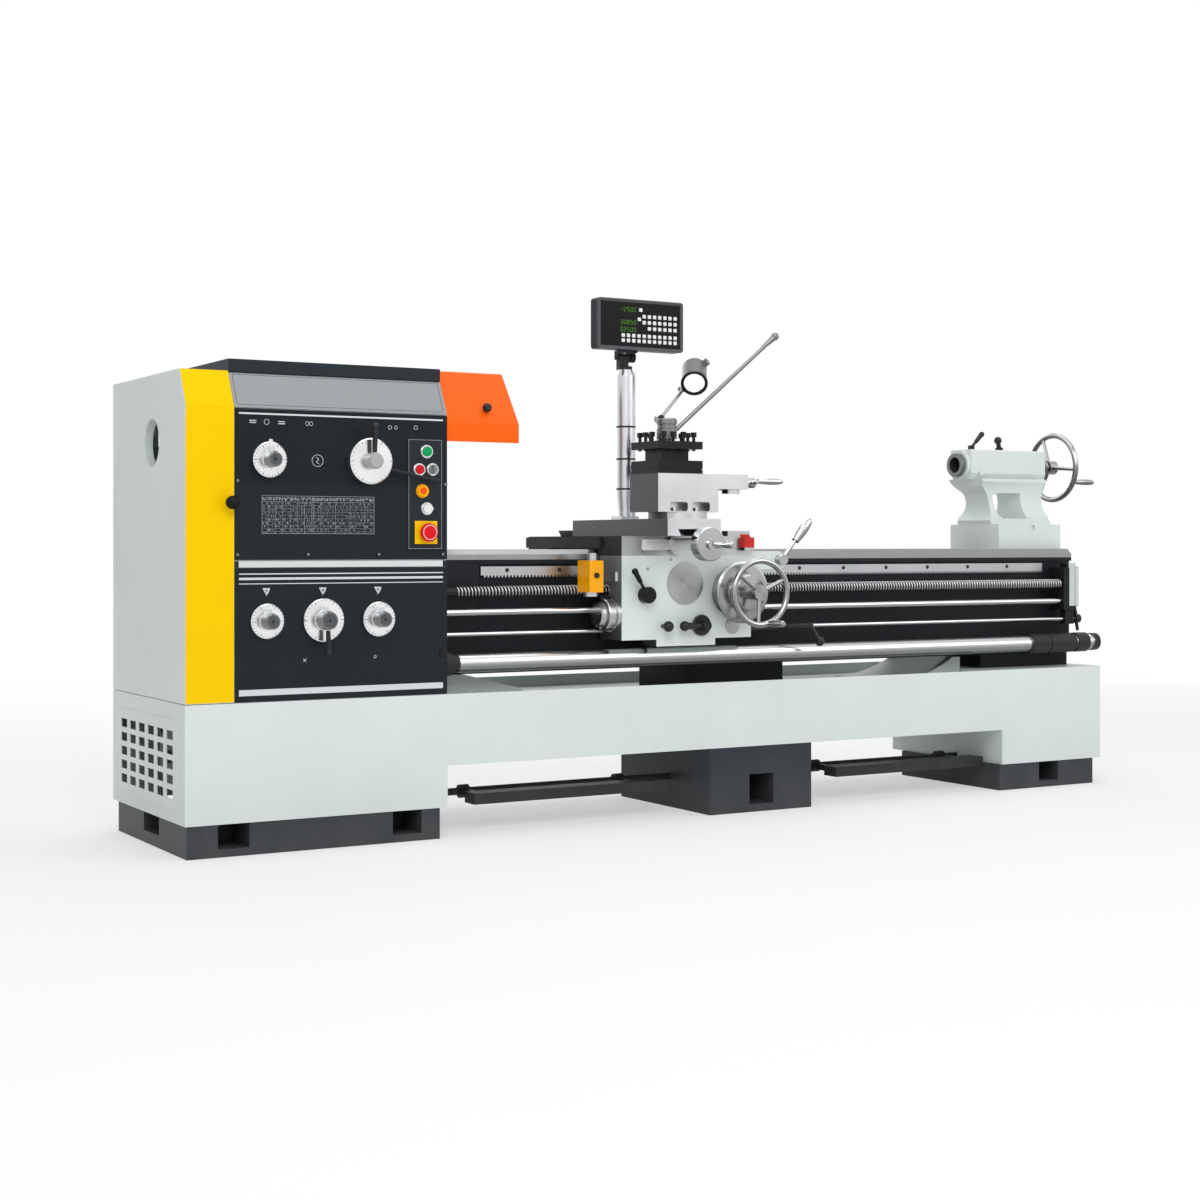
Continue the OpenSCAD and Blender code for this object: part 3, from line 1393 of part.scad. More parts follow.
module readout_column() {
    r = column_d / 2;
    color(silver) {
        translate([column_x, column_yy, cross_z1]) rotate_extrude() polygon([
            [0, 0], [26, 0], [26, 34], [r, 92], [r, 102], [r + 2, 102], [r + 2, 108], [r, 108],
            [r, 204], [r + 2, 204], [r + 2, 210], [r, 210], [r, 314], [r + 2, 314], [r + 2, 320],
            [r, 320], [r, column_h - 20], [r - 8, column_h], [0, column_h]]);
        // flat foot and thin conduit
        box(column_x - 34, column_x + 34, column_yy - 30, column_yy + 40, cross_z1, cross_z1 + 12);
        rod_z(cross_z1 + 4, column_z1 - 6, 11, column_x + r + 3, column_yy + 4);
    }
    // knuckle of the readout
    p = readout_pivot;
    color(charcoal) difference() {
        union() {
            rod_z(column_z1 - 1, column_z1 + 12, 48, column_x, column_yy + 4);
            box(p[0] - 16, p[0] + 16, p[1] - 14, p[1] + 14, column_z1 + 2, p[2]);
            rod_x(p[0] - 16, p[0] + 16, 28, p[1], p[2]);
        }
        rod_x(p[0] - 17, p[0] + 17, 12 + bore_gap, p[1], p[2]);
    }
}

module readout() {
    x0 = column_x - readout_w / 2 + 30;
    p = readout_pivot;
    color(charcoal) {
        difference() {
            translate([0, readout_y + readout_t, 0]) rotate([90, 0, 0])
                linear_extrude(readout_t)
                polygon(round_rect(x0, readout_z, x0 + readout_w, readout_z + readout_h, 10));
            translate([0, readout_y + 3, 0]) rotate([90, 0, 0]) linear_extrude(4)
                polygon(round_rect(x0 + 8, readout_z + 8, x0 + readout_w - 8,
                                   readout_z + readout_h - 8, 6));
        }
        // ears and pin of the tilt joint, with its clamp knob
        for (x = [-26.3, 16.3]) {
            box(p[0] + x, p[0] + x + 10, p[1] - 12, p[1] + 10, p[2] - 10, readout_z - 2);
            box(p[0] + x, p[0] + x + 10, readout_y + 16, p[1] + 10, readout_z - 8, readout_z + 2);
        }
        rod_x(p[0] - 27, p[0] + 27, 12, p[1], p[2]);
    }
    color(black) {
        rod_x(p[0] + 26, p[0] + 44, 36, p[1], p[2]);
    }
}

lamp_at = [carriage_x + 24, -104];
lamp_elbow = [carriage_x + 39, -104, 1347 - 882 + way_z];
lamp_neck = [carriage_x + 138, -104, 1455 - 882 + way_z];
lamp_mouth = lamp_neck + [-6, -76, 12];

module lamp_arm() {
    a = [lamp_at[0], lamp_at[1], cross_z1];
    color(black) rod_z(cross_z1, cross_z1 + 26, 50, a[0], a[1]);
    color(silver) {
        bar(a + [0, 0, 20], lamp_elbow, 15);
        bar(lamp_elbow, lamp_neck, 13);
    }
    color(black) {
        translate(lamp_elbow) rotate([90, 0, 0]) cylinder(h = 26, r = 14, center = true);
        translate(lamp_neck) rotate([90, 0, 0]) cylinder(h = 20, r = 12, center = true);
    }
}

module lamp_head() {
    r = lamp_d / 2;
    color(charcoal) {
        translate(lamp_mouth) rotate([0, 55.9, 56.3]) {
            rotate_extrude() polygon([
                [0, 48], [12, 48], [r - 7, 4], [r - 7, 0], [r + 1, 0], [r + 1, 9], [r - 2, 11],
                [r - 2, 106], [r - 8, 118], [r - 16, 124], [18, 124], [18, 130], [0, 130]]);
            rotate([0, 0, 231]) translate([r - 8, 0, 92]) rotate([0, 90, 0]) cylinder(h = 22, d = 26);
        }
        for (s = [-1, 1])
            bar(lamp_neck + [0, s * 15, 0], lamp_neck + [24, s * 15, 41], 9);
        rod_y(lamp_neck[1] - 20, lamp_neck[1] - 10.3, 22, lamp_neck[0], lamp_neck[2]);
        rod_y(lamp_neck[1] + 10.3, lamp_neck[1] + 20, 22, lamp_neck[0], lamp_neck[2]);
    }
}

// Tailstock ----------------------------------------------------------------

tail_x1 = tail_x + tail_l;
tail_z = way_z + slide_gap;
tail_base_z1 = way_z + tail_base_h;
barrel_x0 = tail_x - 68;
barrel_x1 = barrel_x0 + barrel_l;
barrel_y = barrel_w / 2;
barrel_z0 = axis_z - 54;
barrel_z1 = axis_z + 60;
neck_w = 190;

module tailstock_body() {
    color(light_grey) {
        // base on the ways
        difference() {
            union() {
                box(tail_x, tail_x1, -tail_w / 2, tail_w / 2, tail_z, tail_base_z1 - 0.1);
                for (x = [tail_x + 50, tail_x + 150])
                    box(x, x + 46, -tail_w / 2 - 6, -tail_w / 2 + 1, tail_z, tail_z + 12);
            }
            along_x(tail_x - 1, tail_x1 + 1) vee(tail_vee_y, slide_gap);
            rod_y(-tail_w / 2 - 1, -tail_w / 2 + 10, 24, tail_x + 176, tail_base_z1 - 14);
        }
        // casting with its window
        difference() {
            union() {
                along_x(barrel_x0, barrel_x1) polygon([
                    [-barrel_y, barrel_z1 - 5], [-barrel_y + 5, barrel_z1], [barrel_y - 5, barrel_z1],
                    [barrel_y, barrel_z1 - 5], [barrel_y, barrel_z0 + 22], [barrel_y - 16, barrel_z0],
                    [-barrel_y + 16, barrel_z0], [-barrel_y, barrel_z0 + 22]]);
                along_y(-neck_w / 2, neck_w / 2) polygon(concat(
                    [[tail_x, tail_base_z1], [tail_x1 - 6, tail_base_z1],
                     [tail_x1 - 22, tail_base_z1 + 20], [tail_x1 - 32, tail_base_z1 + 90],
                     [tail_x1 - 34, barrel_z0 + 1], [barrel_x0 + 22, barrel_z0 + 1],
                     [tail_x - 34, barrel_z0 - 26]],
                    arc(tail_x - 76, tail_base_z1 + 72, 92, 32, -38, 8)));
            }
            // the neck is waisted front and back
            for (s = [-1, 1])
                translate([0, s * (neck_w / 2 + 62), tail_base_z1 + 96]) rotate([0, 90, 0])
                    translate([0, 0, tail_x - 80]) cylinder(h = tail_l + 120, r = 92);
            // window
            along_y(-neck_w, neck_w) polygon([
                [tail_x + 32, tail_base_z1 + 120], [tail_x + 140, tail_base_z1 + 123],
                [tail_x + 176, tail_base_z1 + 120], [tail_x + 186, tail_base_z1 + 22],
                [tail_x + 60, tail_base_z1 + 22], [tail_x + 46, tail_base_z1 + 34]]);
            rod_x(barrel_x0 - 1, barrel_x1 - 42, quill_d + bore_gap, 0, axis_z);
            rod_x(barrel_x1 - 43, barrel_x1 + 1, 30 + bore_gap, 0, axis_z);
        }
        // ring nose, oil plug and lifting eye
        difference() {
            rod_x(barrel_x0 - 14, barrel_x0, 112, 0, axis_z);
            rod_x(barrel_x0 - 15, barrel_x0 + 1, quill_d + bore_gap, 0, axis_z);
        }
        rod_y(-barrel_y - 8, -barrel_y + 8, 22, barrel_x0 + 46, barrel_z0 + 26);
    }
}

module quill() {
    x0 = barrel_x0 - 33;
    color(steel) difference() {
        rod_x(x0, barrel_x1 - 60, quill_d, 0, axis_z);
        turned_x(x0 - 1, 0, axis_z) polygon([[0, 0], [31, 0], [30, 2], [24, 130], [0, 130]]);
    }
}

module tail_handwheel() {
    x = barrel_x1 + 62;
    color(silver) {
        rod_x(barrel_x1 - 55, x + 4, 30, 0, axis_z);
        rod_x(barrel_x1 + 0.2, barrel_x1 + 38, 76, 0, axis_z);
        translate([x, 0, axis_z]) rotate([0, 90, 0]) {
            spoked_wheel(tail_wheel_r, 11, 28, 40, 16, 3, 35);
            translate([(tail_wheel_r - 11) * cos(-62), (tail_wheel_r - 11) * sin(-62), 40])
                grip(104, 12);
        }
    }
}

quill_lock_at = [barrel_x0 + 33, -22];
tail_clamp_at = [barrel_x0 + 178, -20];

module quill_lock() {
    p = quill_lock_at;
    color(black) {
        rod_z(barrel_z1, barrel_z1 + 16, 26, p[0], p[1]);
        bar([p[0], p[1], barrel_z1 + 10], [p[0] + 22, p[1] - 6, barrel_z1 + 34], 11, 11);
        bar([p[0] + 18, p[1] - 5, barrel_z1 + 30], [p[0] + 42, p[1] - 12, barrel_z1 + 60], 16, 19);
        translate([p[0] + 42, p[1] - 12, barrel_z1 + 60]) sphere(r = 11);
    }
}

module tail_clamp() {
    p = tail_clamp_at;
    color(black) {
        rod_z(barrel_z1, barrel_z1 + 12, 30, p[0], p[1]);
        translate([p[0], p[1], barrel_z1 + 7]) rotate([0, -18, 20]) {
            cylinder(h = 34, d = 18);
            translate([0, 0, 34]) sphere(r = 15);
        }
    }
}

// Show what is chosen -----------------------------------------------------

floor_plinths();
headstock_base();
main_motor();
end_drive();
headstock_casing();
front_panels();
fascia();
top_cover();
end_cover();
cover_trim();
spindle();
chuck_guard();
range_knob();
speed_ring();
speed_lever();
feed_knob_left();
feed_knob_centre();
feed_knob_right();
start_button();
stop_button();
mode_switch();
jog_button();
coolant_button();
emergency_button();
bed();
rack();
end_bracket();
guard_rail();
chip_tray();
end_cabinet();
leadscrew();
feed_rod();
control_rod();
brake_pedal();
saddle();
apron();
apron_covers();
thread_dial();
apron_handwheel();
half_nut_lever();
feed_knob();
feed_lever();
engage_lever();
control_lever();
cross_slide();
cross_crank();
compound_base();
top_slide();
top_crank();
tool_post();
clamp_lever();
readout_column();
readout();
lamp_arm();
lamp_head();
tailstock_body();
quill();
tail_handwheel();
quill_lock();
tail_clamp();
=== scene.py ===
"""Engine lathe: looks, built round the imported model.

Every length is in metres. X runs along the bed towards the tailstock, Y to the back, Z up.
New pieces are surfaces worked out with numpy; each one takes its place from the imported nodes.
"""
import json

import bpy
import numpy as np
from mathutils import Matrix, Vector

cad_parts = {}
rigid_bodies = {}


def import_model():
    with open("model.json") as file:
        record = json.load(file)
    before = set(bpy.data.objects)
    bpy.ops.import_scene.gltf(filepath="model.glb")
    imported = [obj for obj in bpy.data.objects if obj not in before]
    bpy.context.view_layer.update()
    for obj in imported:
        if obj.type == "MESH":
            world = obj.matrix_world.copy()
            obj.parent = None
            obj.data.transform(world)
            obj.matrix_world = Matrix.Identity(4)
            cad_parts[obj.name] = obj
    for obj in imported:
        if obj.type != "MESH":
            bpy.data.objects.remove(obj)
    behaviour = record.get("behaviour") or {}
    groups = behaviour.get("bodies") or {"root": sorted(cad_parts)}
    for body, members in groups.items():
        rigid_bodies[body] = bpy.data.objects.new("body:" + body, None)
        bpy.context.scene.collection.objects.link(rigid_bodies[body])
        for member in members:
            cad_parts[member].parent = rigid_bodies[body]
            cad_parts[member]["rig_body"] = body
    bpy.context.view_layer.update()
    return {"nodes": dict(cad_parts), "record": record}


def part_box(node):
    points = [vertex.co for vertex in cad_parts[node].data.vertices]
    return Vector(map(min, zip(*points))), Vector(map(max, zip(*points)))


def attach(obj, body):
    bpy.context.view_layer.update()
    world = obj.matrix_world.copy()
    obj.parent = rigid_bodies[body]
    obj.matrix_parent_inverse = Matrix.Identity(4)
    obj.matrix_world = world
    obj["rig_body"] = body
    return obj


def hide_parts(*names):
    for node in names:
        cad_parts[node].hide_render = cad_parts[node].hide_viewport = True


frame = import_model()

bl_info = {
    "name": "Engine lathe",
    "version": (1, 0, 0),
    "blender": (4, 5, 0),
    "location": "View3D > Sidebar > Lathe",
    "description": "Finishes and detailed pieces of an engine lathe",
    "category": "Object",
}

TAU = 2 * np.pi

# Radii of the end cover's collar, the range knob and the speed ring's disc.
COLLAR_RADIUS = 0.075
RANGE_KNOB_RADIUS = 0.053
SPEED_DISC_RADIUS = 0.07

# Width of the readout's border round its glass.
READOUT_MARGIN = 0.008

# The lamp: direction from its mouth into the can, how far the mouth lies ahead of the stated opening's
# middle, and how deep the dark rim is.
LAMP_AXIS = np.array((0.46, 0.69, 0.56))
LAMP_MOUTH_AHEAD = 0.015
LAMP_RIM_DEPTH = 0.0095

# Signs of the front panels, as distances from the panels' left edge and from the spindle's height.
FEED_MARK_OFFSETS = (0.099, 0.277, 0.457)
FEED_MARK_DROP = 0.448
CURL_SIGN = (0.261, -0.057)
CROSS_SIGN = (0.22, -0.654)
RING_SIGNS = ((*CURL_SIGN, 0.0182), (0.1, 0.054, 0.0085), (0.228, 0.053, 0.0062), (0.24, 0.053, 0.0062),
              (0.497, 0.05, 0.0062), (0.517, 0.05, 0.0055), (0.584, 0.052, 0.0065), (0.448, -0.65, 0.0045))
BAR_SIGNS = ((0.057, 0.057), (0.057, 0.051), (0.147, 0.056), (0.147, 0.05))
PANEL_SCREWS = ((0.01, -0.121), (0.01, -0.338), (0.23, -0.338), (0.46, -0.338), (0.676, -0.338),
                (0.684, -0.121))

# Linear colours that more than one finish uses.
BLACK = (0.012, 0.012, 0.013)
PAINT_BLACK = (0.012, 0.013, 0.015)
OXIDE_BLACK = (0.02, 0.021, 0.023)
# SHADE_BLACK is the colour of painted shade.
SHADE_BLACK = (0.014, 0.014, 0.013)
IRON = (0.2, 0.205, 0.21)
STEEL = (0.44, 0.45, 0.46)
BRIGHT_STEEL = (0.8, 0.81, 0.82)

# Places past every piece, for finishes that have no edge on that side.
ABOVE_ALL = 2.0
AHEAD_OF_ALL = -1.0
LEFT_OF_ALL = -3.0

# Name, place, point it aims at, side length in metres and power in watts.
LAMPS = (("front_lamp", (-3.2, -5.5, 4.6), (-0.4, 0, 0.8), 4.0, 176),
         ("side_lamp", (3.6, -5.0, 3.8), (0.2, 0, 0.8), 4.0, 80),
         ("top_lamp", (0, 0.6, 6.0), (0, 0, 0), 6.0, 130),
         ("back_lamp", (1.0, 6.0, 3.4), (0, 0, 0.9), 5.0, 110))
CAMERA_PLACE = (-3.807, -5.685, 0.911)
CAMERA_TURN = np.radians(-30.5)
CAMERA_LENS = 57.39
CAMERA_SHIFT = -0.0455


# ---------------------------------------------------------------- shader maths

class Sock:
    """An output socket that can be used in sums; each operator adds one Math node, and a comparison
    gives 1 or 0."""

    def __init__(self, net, out):
        self.net = net
        self.out = out

    def _op(self, operation, *others, flip=False):
        values = (others + (self,)) if flip else ((self,) + others)
        return self.net.add("ShaderNodeMath", {"operation": operation}, values)

    def __add__(self, o):
        return self._op("ADD", o)

    def __radd__(self, o):
        return self._op("ADD", o, flip=True)

    def __sub__(self, o):
        return self._op("SUBTRACT", o)

    def __rsub__(self, o):
        return self._op("SUBTRACT", o, flip=True)

    def __mul__(self, o):
        return self._op("MULTIPLY", o)

    def __rmul__(self, o):
        return self._op("MULTIPLY", o, flip=True)

    def __truediv__(self, o):
        return self._op("DIVIDE", o)

    def __gt__(self, o):
        return self._op("GREATER_THAN", o)

    def __lt__(self, o):
        return self._op("LESS_THAN", o)

    def __mod__(self, o):
        return self._op("FLOORED_MODULO", o)

    def __abs__(self):
        return self._op("ABSOLUTE")

    def __pow__(self, o):
        return self._op("POWER", o)

    def sine(self):
        return self._op("SINE")

    def between(self, low, high):
        """1 where the value lies between low and high, otherwise 0."""
        return (self > low) * (self < high)

    def angle(self, other):
        """Angle of the point (other, self), in radians."""
        return self._op("ARCTAN2", other)


class Net:
    """The node tree of a new material, given by its name, or of a world."""

    def __init__(self, owner):
        self.owner = bpy.data.materials.new(owner) if isinstance(owner, str) else owner
        self.owner.use_nodes = True
        self.tree = self.owner.node_tree
        self.tree.nodes.clear()
        self._place = None

    def add(self, kind, settings=None, inputs=(), output=0):
        """Adds a node, sets its settings, then its inputs by order or by name, and gives one output;
        net.last is the node itself."""
        node = self.tree.nodes.new(kind)
        for key, value in (settings or {}).items():
            if key == "stops":
                ramp = node.color_ramp
                while len(ramp.elements) < len(value):
                    ramp.elements.new(0.5)
                for stop, (at, shade) in zip(ramp.elements, value):
                    stop.position = at
                    stop.color = shade
            else:
                setattr(node, key, value)
        pairs = inputs.items() if isinstance(inputs, dict) else enumerate(inputs)
        for key, value in pairs:
            if isinstance(value, Sock):
                self.tree.links.new(value.out, node.inputs[key])
            elif value is not None:
                node.inputs[key].default_value = value
        self.last = node
        return Sock(self, node.outputs[output]) if node.outputs else node

    def place(self):
        """X, Y and Z in the object's own coordinates."""
        if self._place is None:
            self.add("ShaderNodeTexCoord")
            self.vector = Sock(self, self.last.outputs["Object"])
            self.normal = Sock(self, self.last.outputs["Normal"])
            self.add("ShaderNodeSeparateXYZ", None, [self.vector])
            self._place = [Sock(self, self.last.outputs[i]) for i in range(3)]
        return self._place

    def side(self):
        """The parts of the surface's own direction along X, Y and Z."""
        self.place()
        self.add("ShaderNodeSeparateXYZ", None, [self.normal])
        return [Sock(self, self.last.outputs[i]) for i in range(3)]

    def noise(self, scale, detail=3.0, stretch=(1, 1, 1), rough=0.55):
        """Cloudy pattern from 0 to 1, drawn out along the axes where stretch is small."""
        self.place()
        at = self.add("ShaderNodeVectorMath", {"operation": "MULTIPLY"}, [self.vector, stretch])
        return self.add("ShaderNodeTexNoise", None,
                        {"Vector": at, "Scale": scale, "Detail": detail, "Roughness": rough})

    def ramp(self, value, *stops):
        """Colour ramp over (position, grey) stops."""
        return self.add("ShaderNodeValToRGB",
                        {"stops": [(at, (g, g, g, 1)) for at, g in stops]}, [value])

    def mix(self, mask, a, b):
        """Colour a where mask is 0 and b where it is 1."""
        a, b = (v if isinstance(v, Sock) else (*v[:3], 1) for v in (a, b))
        return self.add("ShaderNodeMix", {"data_type": "RGBA"}, {0: mask, 6: a, 7: b}, 2)

    def lerp(self, mask, a, b):
        """Number a where mask is 0 and b where it is 1."""
        return self.add("ShaderNodeMix", {"data_type": "FLOAT"}, {0: mask, 2: a, 3: b})

    def bump(self, height, strength, distance):
        """Small relief of the given depth in metres."""
        return self.add("ShaderNodeBump", None,
                        {"Strength": strength, "Distance": distance, "Height": height})

    def finish(self, **sockets):
        """Principled surface with the given sockets; an underscore stands for a space."""
        names = {k.replace("_", " "): v for k, v in sockets.items()}
        for key in ("Base Color", "Emission Color"):
            if key in names and not isinstance(names[key], Sock):
                names[key] = (*names[key][:3], 1)
        surface = self.add("ShaderNodeBsdfPrincipled", None, names)
        self.add("ShaderNodeOutputMaterial", None, [surface])
        return self.owner


def rgb(r, g, b):
    """Linear colour of an 8-bit screen colour."""
    c = np.array([r, g, b]) / 255
    return tuple(float(v) for v in np.where(c <= 0.04045, c / 12.92, ((c + 0.055) / 1.055) ** 2.4))


# ---------------------------------------------------------------- settings

def colour_setting(name, description, screen_colour):
    """Colour property with an 8-bit screen colour as its default."""
    return bpy.props.FloatVectorProperty(name=name, description=description, subtype="COLOR", size=3,
                                         min=0.0, max=1.0, default=rgb(*screen_colour))


def length_setting(name, description, low, high, default):
    """Length property in metres."""
    return bpy.props.FloatProperty(name=name, description=description, unit="LENGTH", min=low, max=high,
                                   default=default)


class LatheFinish(bpy.types.PropertyGroup):
    """Colours of the painted and metal surfaces."""
    cover_paint: colour_setting("Cover paint", "Paint of the covers, cabinets and apron", (222, 231, 228))
    casting_paint: colour_setting("Casting paint", "Paint of the plinths and the bed's walls", (62, 68, 76))
    panel_paint: colour_setting("Panel paint", "Paint of the control panels and the top cover", (40, 48, 53))
    trim_paint: colour_setting("Trim paint", "Paint of the end cover's front", (255, 208, 0))
    guard_paint: colour_setting("Guard paint", "Paint of the chuck guard", (255, 102, 20))
    oil_wear: bpy.props.FloatProperty(
        name="Oil and wear", description="How far the bare iron is clouded by oil and use",
        subtype="FACTOR", min=0.0, max=1.0, default=0.45)


class LatheDetail(bpy.types.PropertyGroup):
    """Sizes of the detailed pieces."""
    thread_pitch: length_setting("Thread pitch", "Pitch of the leadscrew's thread", 0.004, 0.02, 0.012)
    thread_depth: length_setting("Thread depth", "Depth of the leadscrew's thread", 0.001, 0.004, 0.0032)
    guard_bend: length_setting("Guard bend", "Radius of the bends in the guard's sheet", 0.005, 0.04, 0.014)
    key_size: length_setting("Key size", "Width of a key of the readout", 0.006, 0.0145, 0.0128)
    tick_step: bpy.props.FloatProperty(
        name="Dial step", description="Angle between two lines of a dial",
        subtype="ANGLE", min=0.02, max=0.5, default=float(np.radians(12)))


def finish_values():
    """Colours set in the panel."""
    return bpy.context.scene.lathe_finish


def detail_values():
    """Sizes set in the panel."""
    return bpy.context.scene.lathe_detail


# ---------------------------------------------------------------- places

def span(node):
    """Lowest and highest corner of a node, and its middle."""
    low, high = (np.array(v, float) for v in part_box(node))
    return low, high, (low + high) / 2


def dimmed(colour, share):
    """Colour with each part times the share, and at most 1."""
    return tuple(min(1.0, share * c) for c in colour)


# ---------------------------------------------------------------- materials

def overlay(net, masks, base, level, metal):
    """Lays each mask's colour, roughness and share of bare metal over a finish, in order."""
    for mask in masks:
        cover, shade, rough, *share = mask(net, *net.place())
        base = net.mix(cover, base, shade)
        level = net.lerp(cover, level, rough)
        if share:
            metal = net.lerp(cover, metal, share[0])
    return base, level, metal


def painted(name, colour, rough=0.34, grain=0.12, shine=0.3, masks=()):
    """Sprayed paint: fine orange peel, faint clouds in the colour, rubbed and dusty places."""
    net = Net(name)
    z = net.place()[2]
    cloud = net.noise(3.0, 4.0)
    peel = net.noise(420.0, 2.0)
    smear = net.noise(9.0, 5.0, (1, 1, 0.35))
    base = net.mix(net.ramp(cloud, (0.3, 0.0), (0.75, 1.0)), colour, dimmed(colour, 0.93))
    dust = net.ramp(z, (0.0, 0.35), (0.25, 0.0))
    base = net.mix(dust * smear * 0.6, base, (0.33, 0.31, 0.28))
    level = rough + (smear - 0.5) * 0.16 + (peel - 0.5) * 0.05
    base, level, metal = overlay(net, masks, base, level, 0.0)
    return net.finish(Base_Color=base, Roughness=level, Metallic=metal, Specular_IOR_Level=shine,
                      Normal=net.bump(peel * 0.5 + cloud * 0.5, grain, 0.0006))


def painted_reflection_band(net, base, level):
    """Painted reflection and shade: darkens what faces down and paints a bright band on what faces up
    and out, as a floor and walls round a polished rod or wheel would reflect."""
    up = net.side()[2]
    band = net.ramp(up * 0.5 + 0.5, (0.06, 0.25), (0.3, 0.05), (0.46, 0.3), (0.64, 1.0), (0.8, 0.55),
                    (0.97, 0.95))
    return net.mix((1 - band) * level, base, (0.03, 0.031, 0.033))


def streaked(name, colour, rough=0.28, along=(1, 60, 60), depth=0.25, painted_side_shade=0.0, clouds=0.3,
             masks=(), painted_reflection=0.0):
    """Ground or brushed metal: fine streaks along the axis where along is small, with clouds of oil."""
    net = Net(name)
    streak = net.noise(34.0, 4.0, along)
    stain = net.ramp(net.noise(5.0, 4.0), (0.42, 0.0), (0.72, 1.0))
    base = net.mix(stain * clouds, colour, dimmed(colour, 0.62))
    base = net.mix(streak * 0.35, base, dimmed(colour, 1.18))
    level = rough + (streak - 0.5) * 0.22 + stain * 0.08
    # painted shade: the faces that look along X are darkened
    if painted_side_shade:
        side = abs(net.side()[0]) > 0.8
        base = net.mix(side * painted_side_shade, base, (0.05, 0.047, 0.044))
        level = net.lerp(side, level, 0.36)
    # painted reflection: a dark underside and a bright band, from the surface's direction
    if painted_reflection:
        base = painted_reflection_band(net, base, painted_reflection)
    base, level, metal = overlay(net, masks, base, level, 1.0)
    return net.finish(Base_Color=base, Roughness=level, Metallic=metal, Specular_IOR_Level=0.2,
                      Normal=net.bump(streak, depth, 0.0004))


def around(place, centre, axis):
    """The two distances of a point from a line along an axis, and the square of its radius."""
    u, v = (place[i] - float(centre[i]) for i in range(3) if i != axis)
    return u, v, u * u + v * v


def dial_lines(u, v, radius, inner, outer, step):
    """1 on a dial's lines: one at each step between the two radii, and every fifth one longer."""
    turn = v.angle(u) + 2 * TAU
    middle = (inner + outer) / 2
    fine = (turn % step) < 0.0012 / middle
    long = (turn % (step * 5)) < 0.0018 / middle
    short = radius.between(inner + 0.45 * (outer - inner), outer)
    return (fine * short + long * radius.between(inner, outer)) > 0.5


def turned(name, colour, centre, axis, rough=0.2, ticks=None, masks=(), painted_reflection=0.0, painted_sheen=0.2):
    """Turned metal: rings round an axis; ticks gives (inner radius, outer radius, step) of dial lines."""
    net = Net(name)
    place = net.place()
    u, v, square = around(place, centre, axis)
    radius = square ** 0.5
    ring = net.add("ShaderNodeTexNoise", {"noise_dimensions": "1D"},
                   {"W": radius * 900 + place[axis] * 700, "Scale": 1.0, "Detail": 3.0})
    # painted sheen: the colour darkens and lightens with the angle round the axis, as a turned face's
    # reflection would
    sheen = abs((v.angle(u) + 0.7).sine())
    base = net.mix(ring * 0.3, colour, dimmed(colour, 0.8))
    base = net.mix((1 - sheen) * painted_sheen, base, dimmed(colour, 0.5))
    # painted reflection: a dark underside and a bright band, from the surface's direction
    if painted_reflection:
        base = painted_reflection_band(net, base, painted_reflection)
    level = rough + (ring - 0.5) * 0.16
    if ticks:
        line = dial_lines(u, v, radius, *ticks)
        base = net.mix(line, base, (0.06, 0.06, 0.065))
        level = net.lerp(line, level, 0.55)
    base, level, metal = overlay(net, masks, base, level, 1.0)
    return net.finish(Base_Color=base, Roughness=level, Metallic=metal, Specular_IOR_Level=0.2,
                      Normal=net.bump(ring, 0.18, 0.0003))


def moulded(name, colour, rough=0.25, grain=0.1, glow=0.0, masks=(), shine=0.3):
    """Moulded plastic: slight flow marks, a fine texture and finger marks in the gloss."""
    net = Net(name)
    flow = net.noise(14.0, 3.0)
    fine = net.noise(900.0, 2.0)
    base = net.mix(flow * 0.5, colour, tuple(0.86 * c + 0.01 for c in colour))
    base, level, _ = overlay(net, masks, base, rough + (flow - 0.5) * 0.18, 0.0)
    extra = {"Emission_Color": colour, "Emission_Strength": glow} if glow else {}
    return net.finish(Base_Color=base, Roughness=level, Specular_IOR_Level=shine,
                      Normal=net.bump(fine, grain, 0.0003), **extra)


def region(colour, level, *share, **ranges):
    """Finish inside ranges such as x=(low, high); share, if given, is how far it is bare metal."""
    def mask(net, *place):
        inside = None
        for along, p in zip("xyz", place):
            if along in ranges:
                part = p.between(*ranges[along])
                inside = part if inside is None else inside * part
        return inside, colour, level, *share
    return mask


def beyond(colour, level, *share, centre, axis, radius):
    """Finish outside the given radius round an axis."""
    def mask(net, *place):
        return around(place, centre, axis)[2] > radius ** 2, colour, level, *share
    return mask


def within(colour, level, *share, centre, axis, radius, inner=0.0, front=None):
    """Finish between two radii round an axis, and nearer the front than a given place if there is one."""
    def mask(net, *place):
        cover = around(place, centre, axis)[2].between(inner ** 2 - 1e-9, radius ** 2)
        if front is not None:
            cover = cover * (place[axis] < front)
        return cover, colour, level, *share
    return mask


def left_faces_painted_shade(colour, level, low, high):
    """Painted shade on the faces that look towards the headstock, strongest at the lower of two heights."""
    def mask(net, x, y, z):
        fade = net.ramp((z - low) / (high - low), (0.0, 0.97), (1.0, 0.75))
        return (net.side()[0] < -0.8) * fade, colour, level
    return mask


def lamp_rim(net, *place):
    """Dark finish on the ring of the lamp's can next to its mouth."""
    mouth, axis = lamp_mouth()
    depth = sum(((p - float(m)) * float(a) for p, m, a in zip(place, mouth, axis)), 0.0)
    return depth < LAMP_RIM_DEPTH, BLACK, 0.3, 0.0


def total(parts):
    """Sum of a row of masks."""
    first, *others = parts
    return sum(others, first)


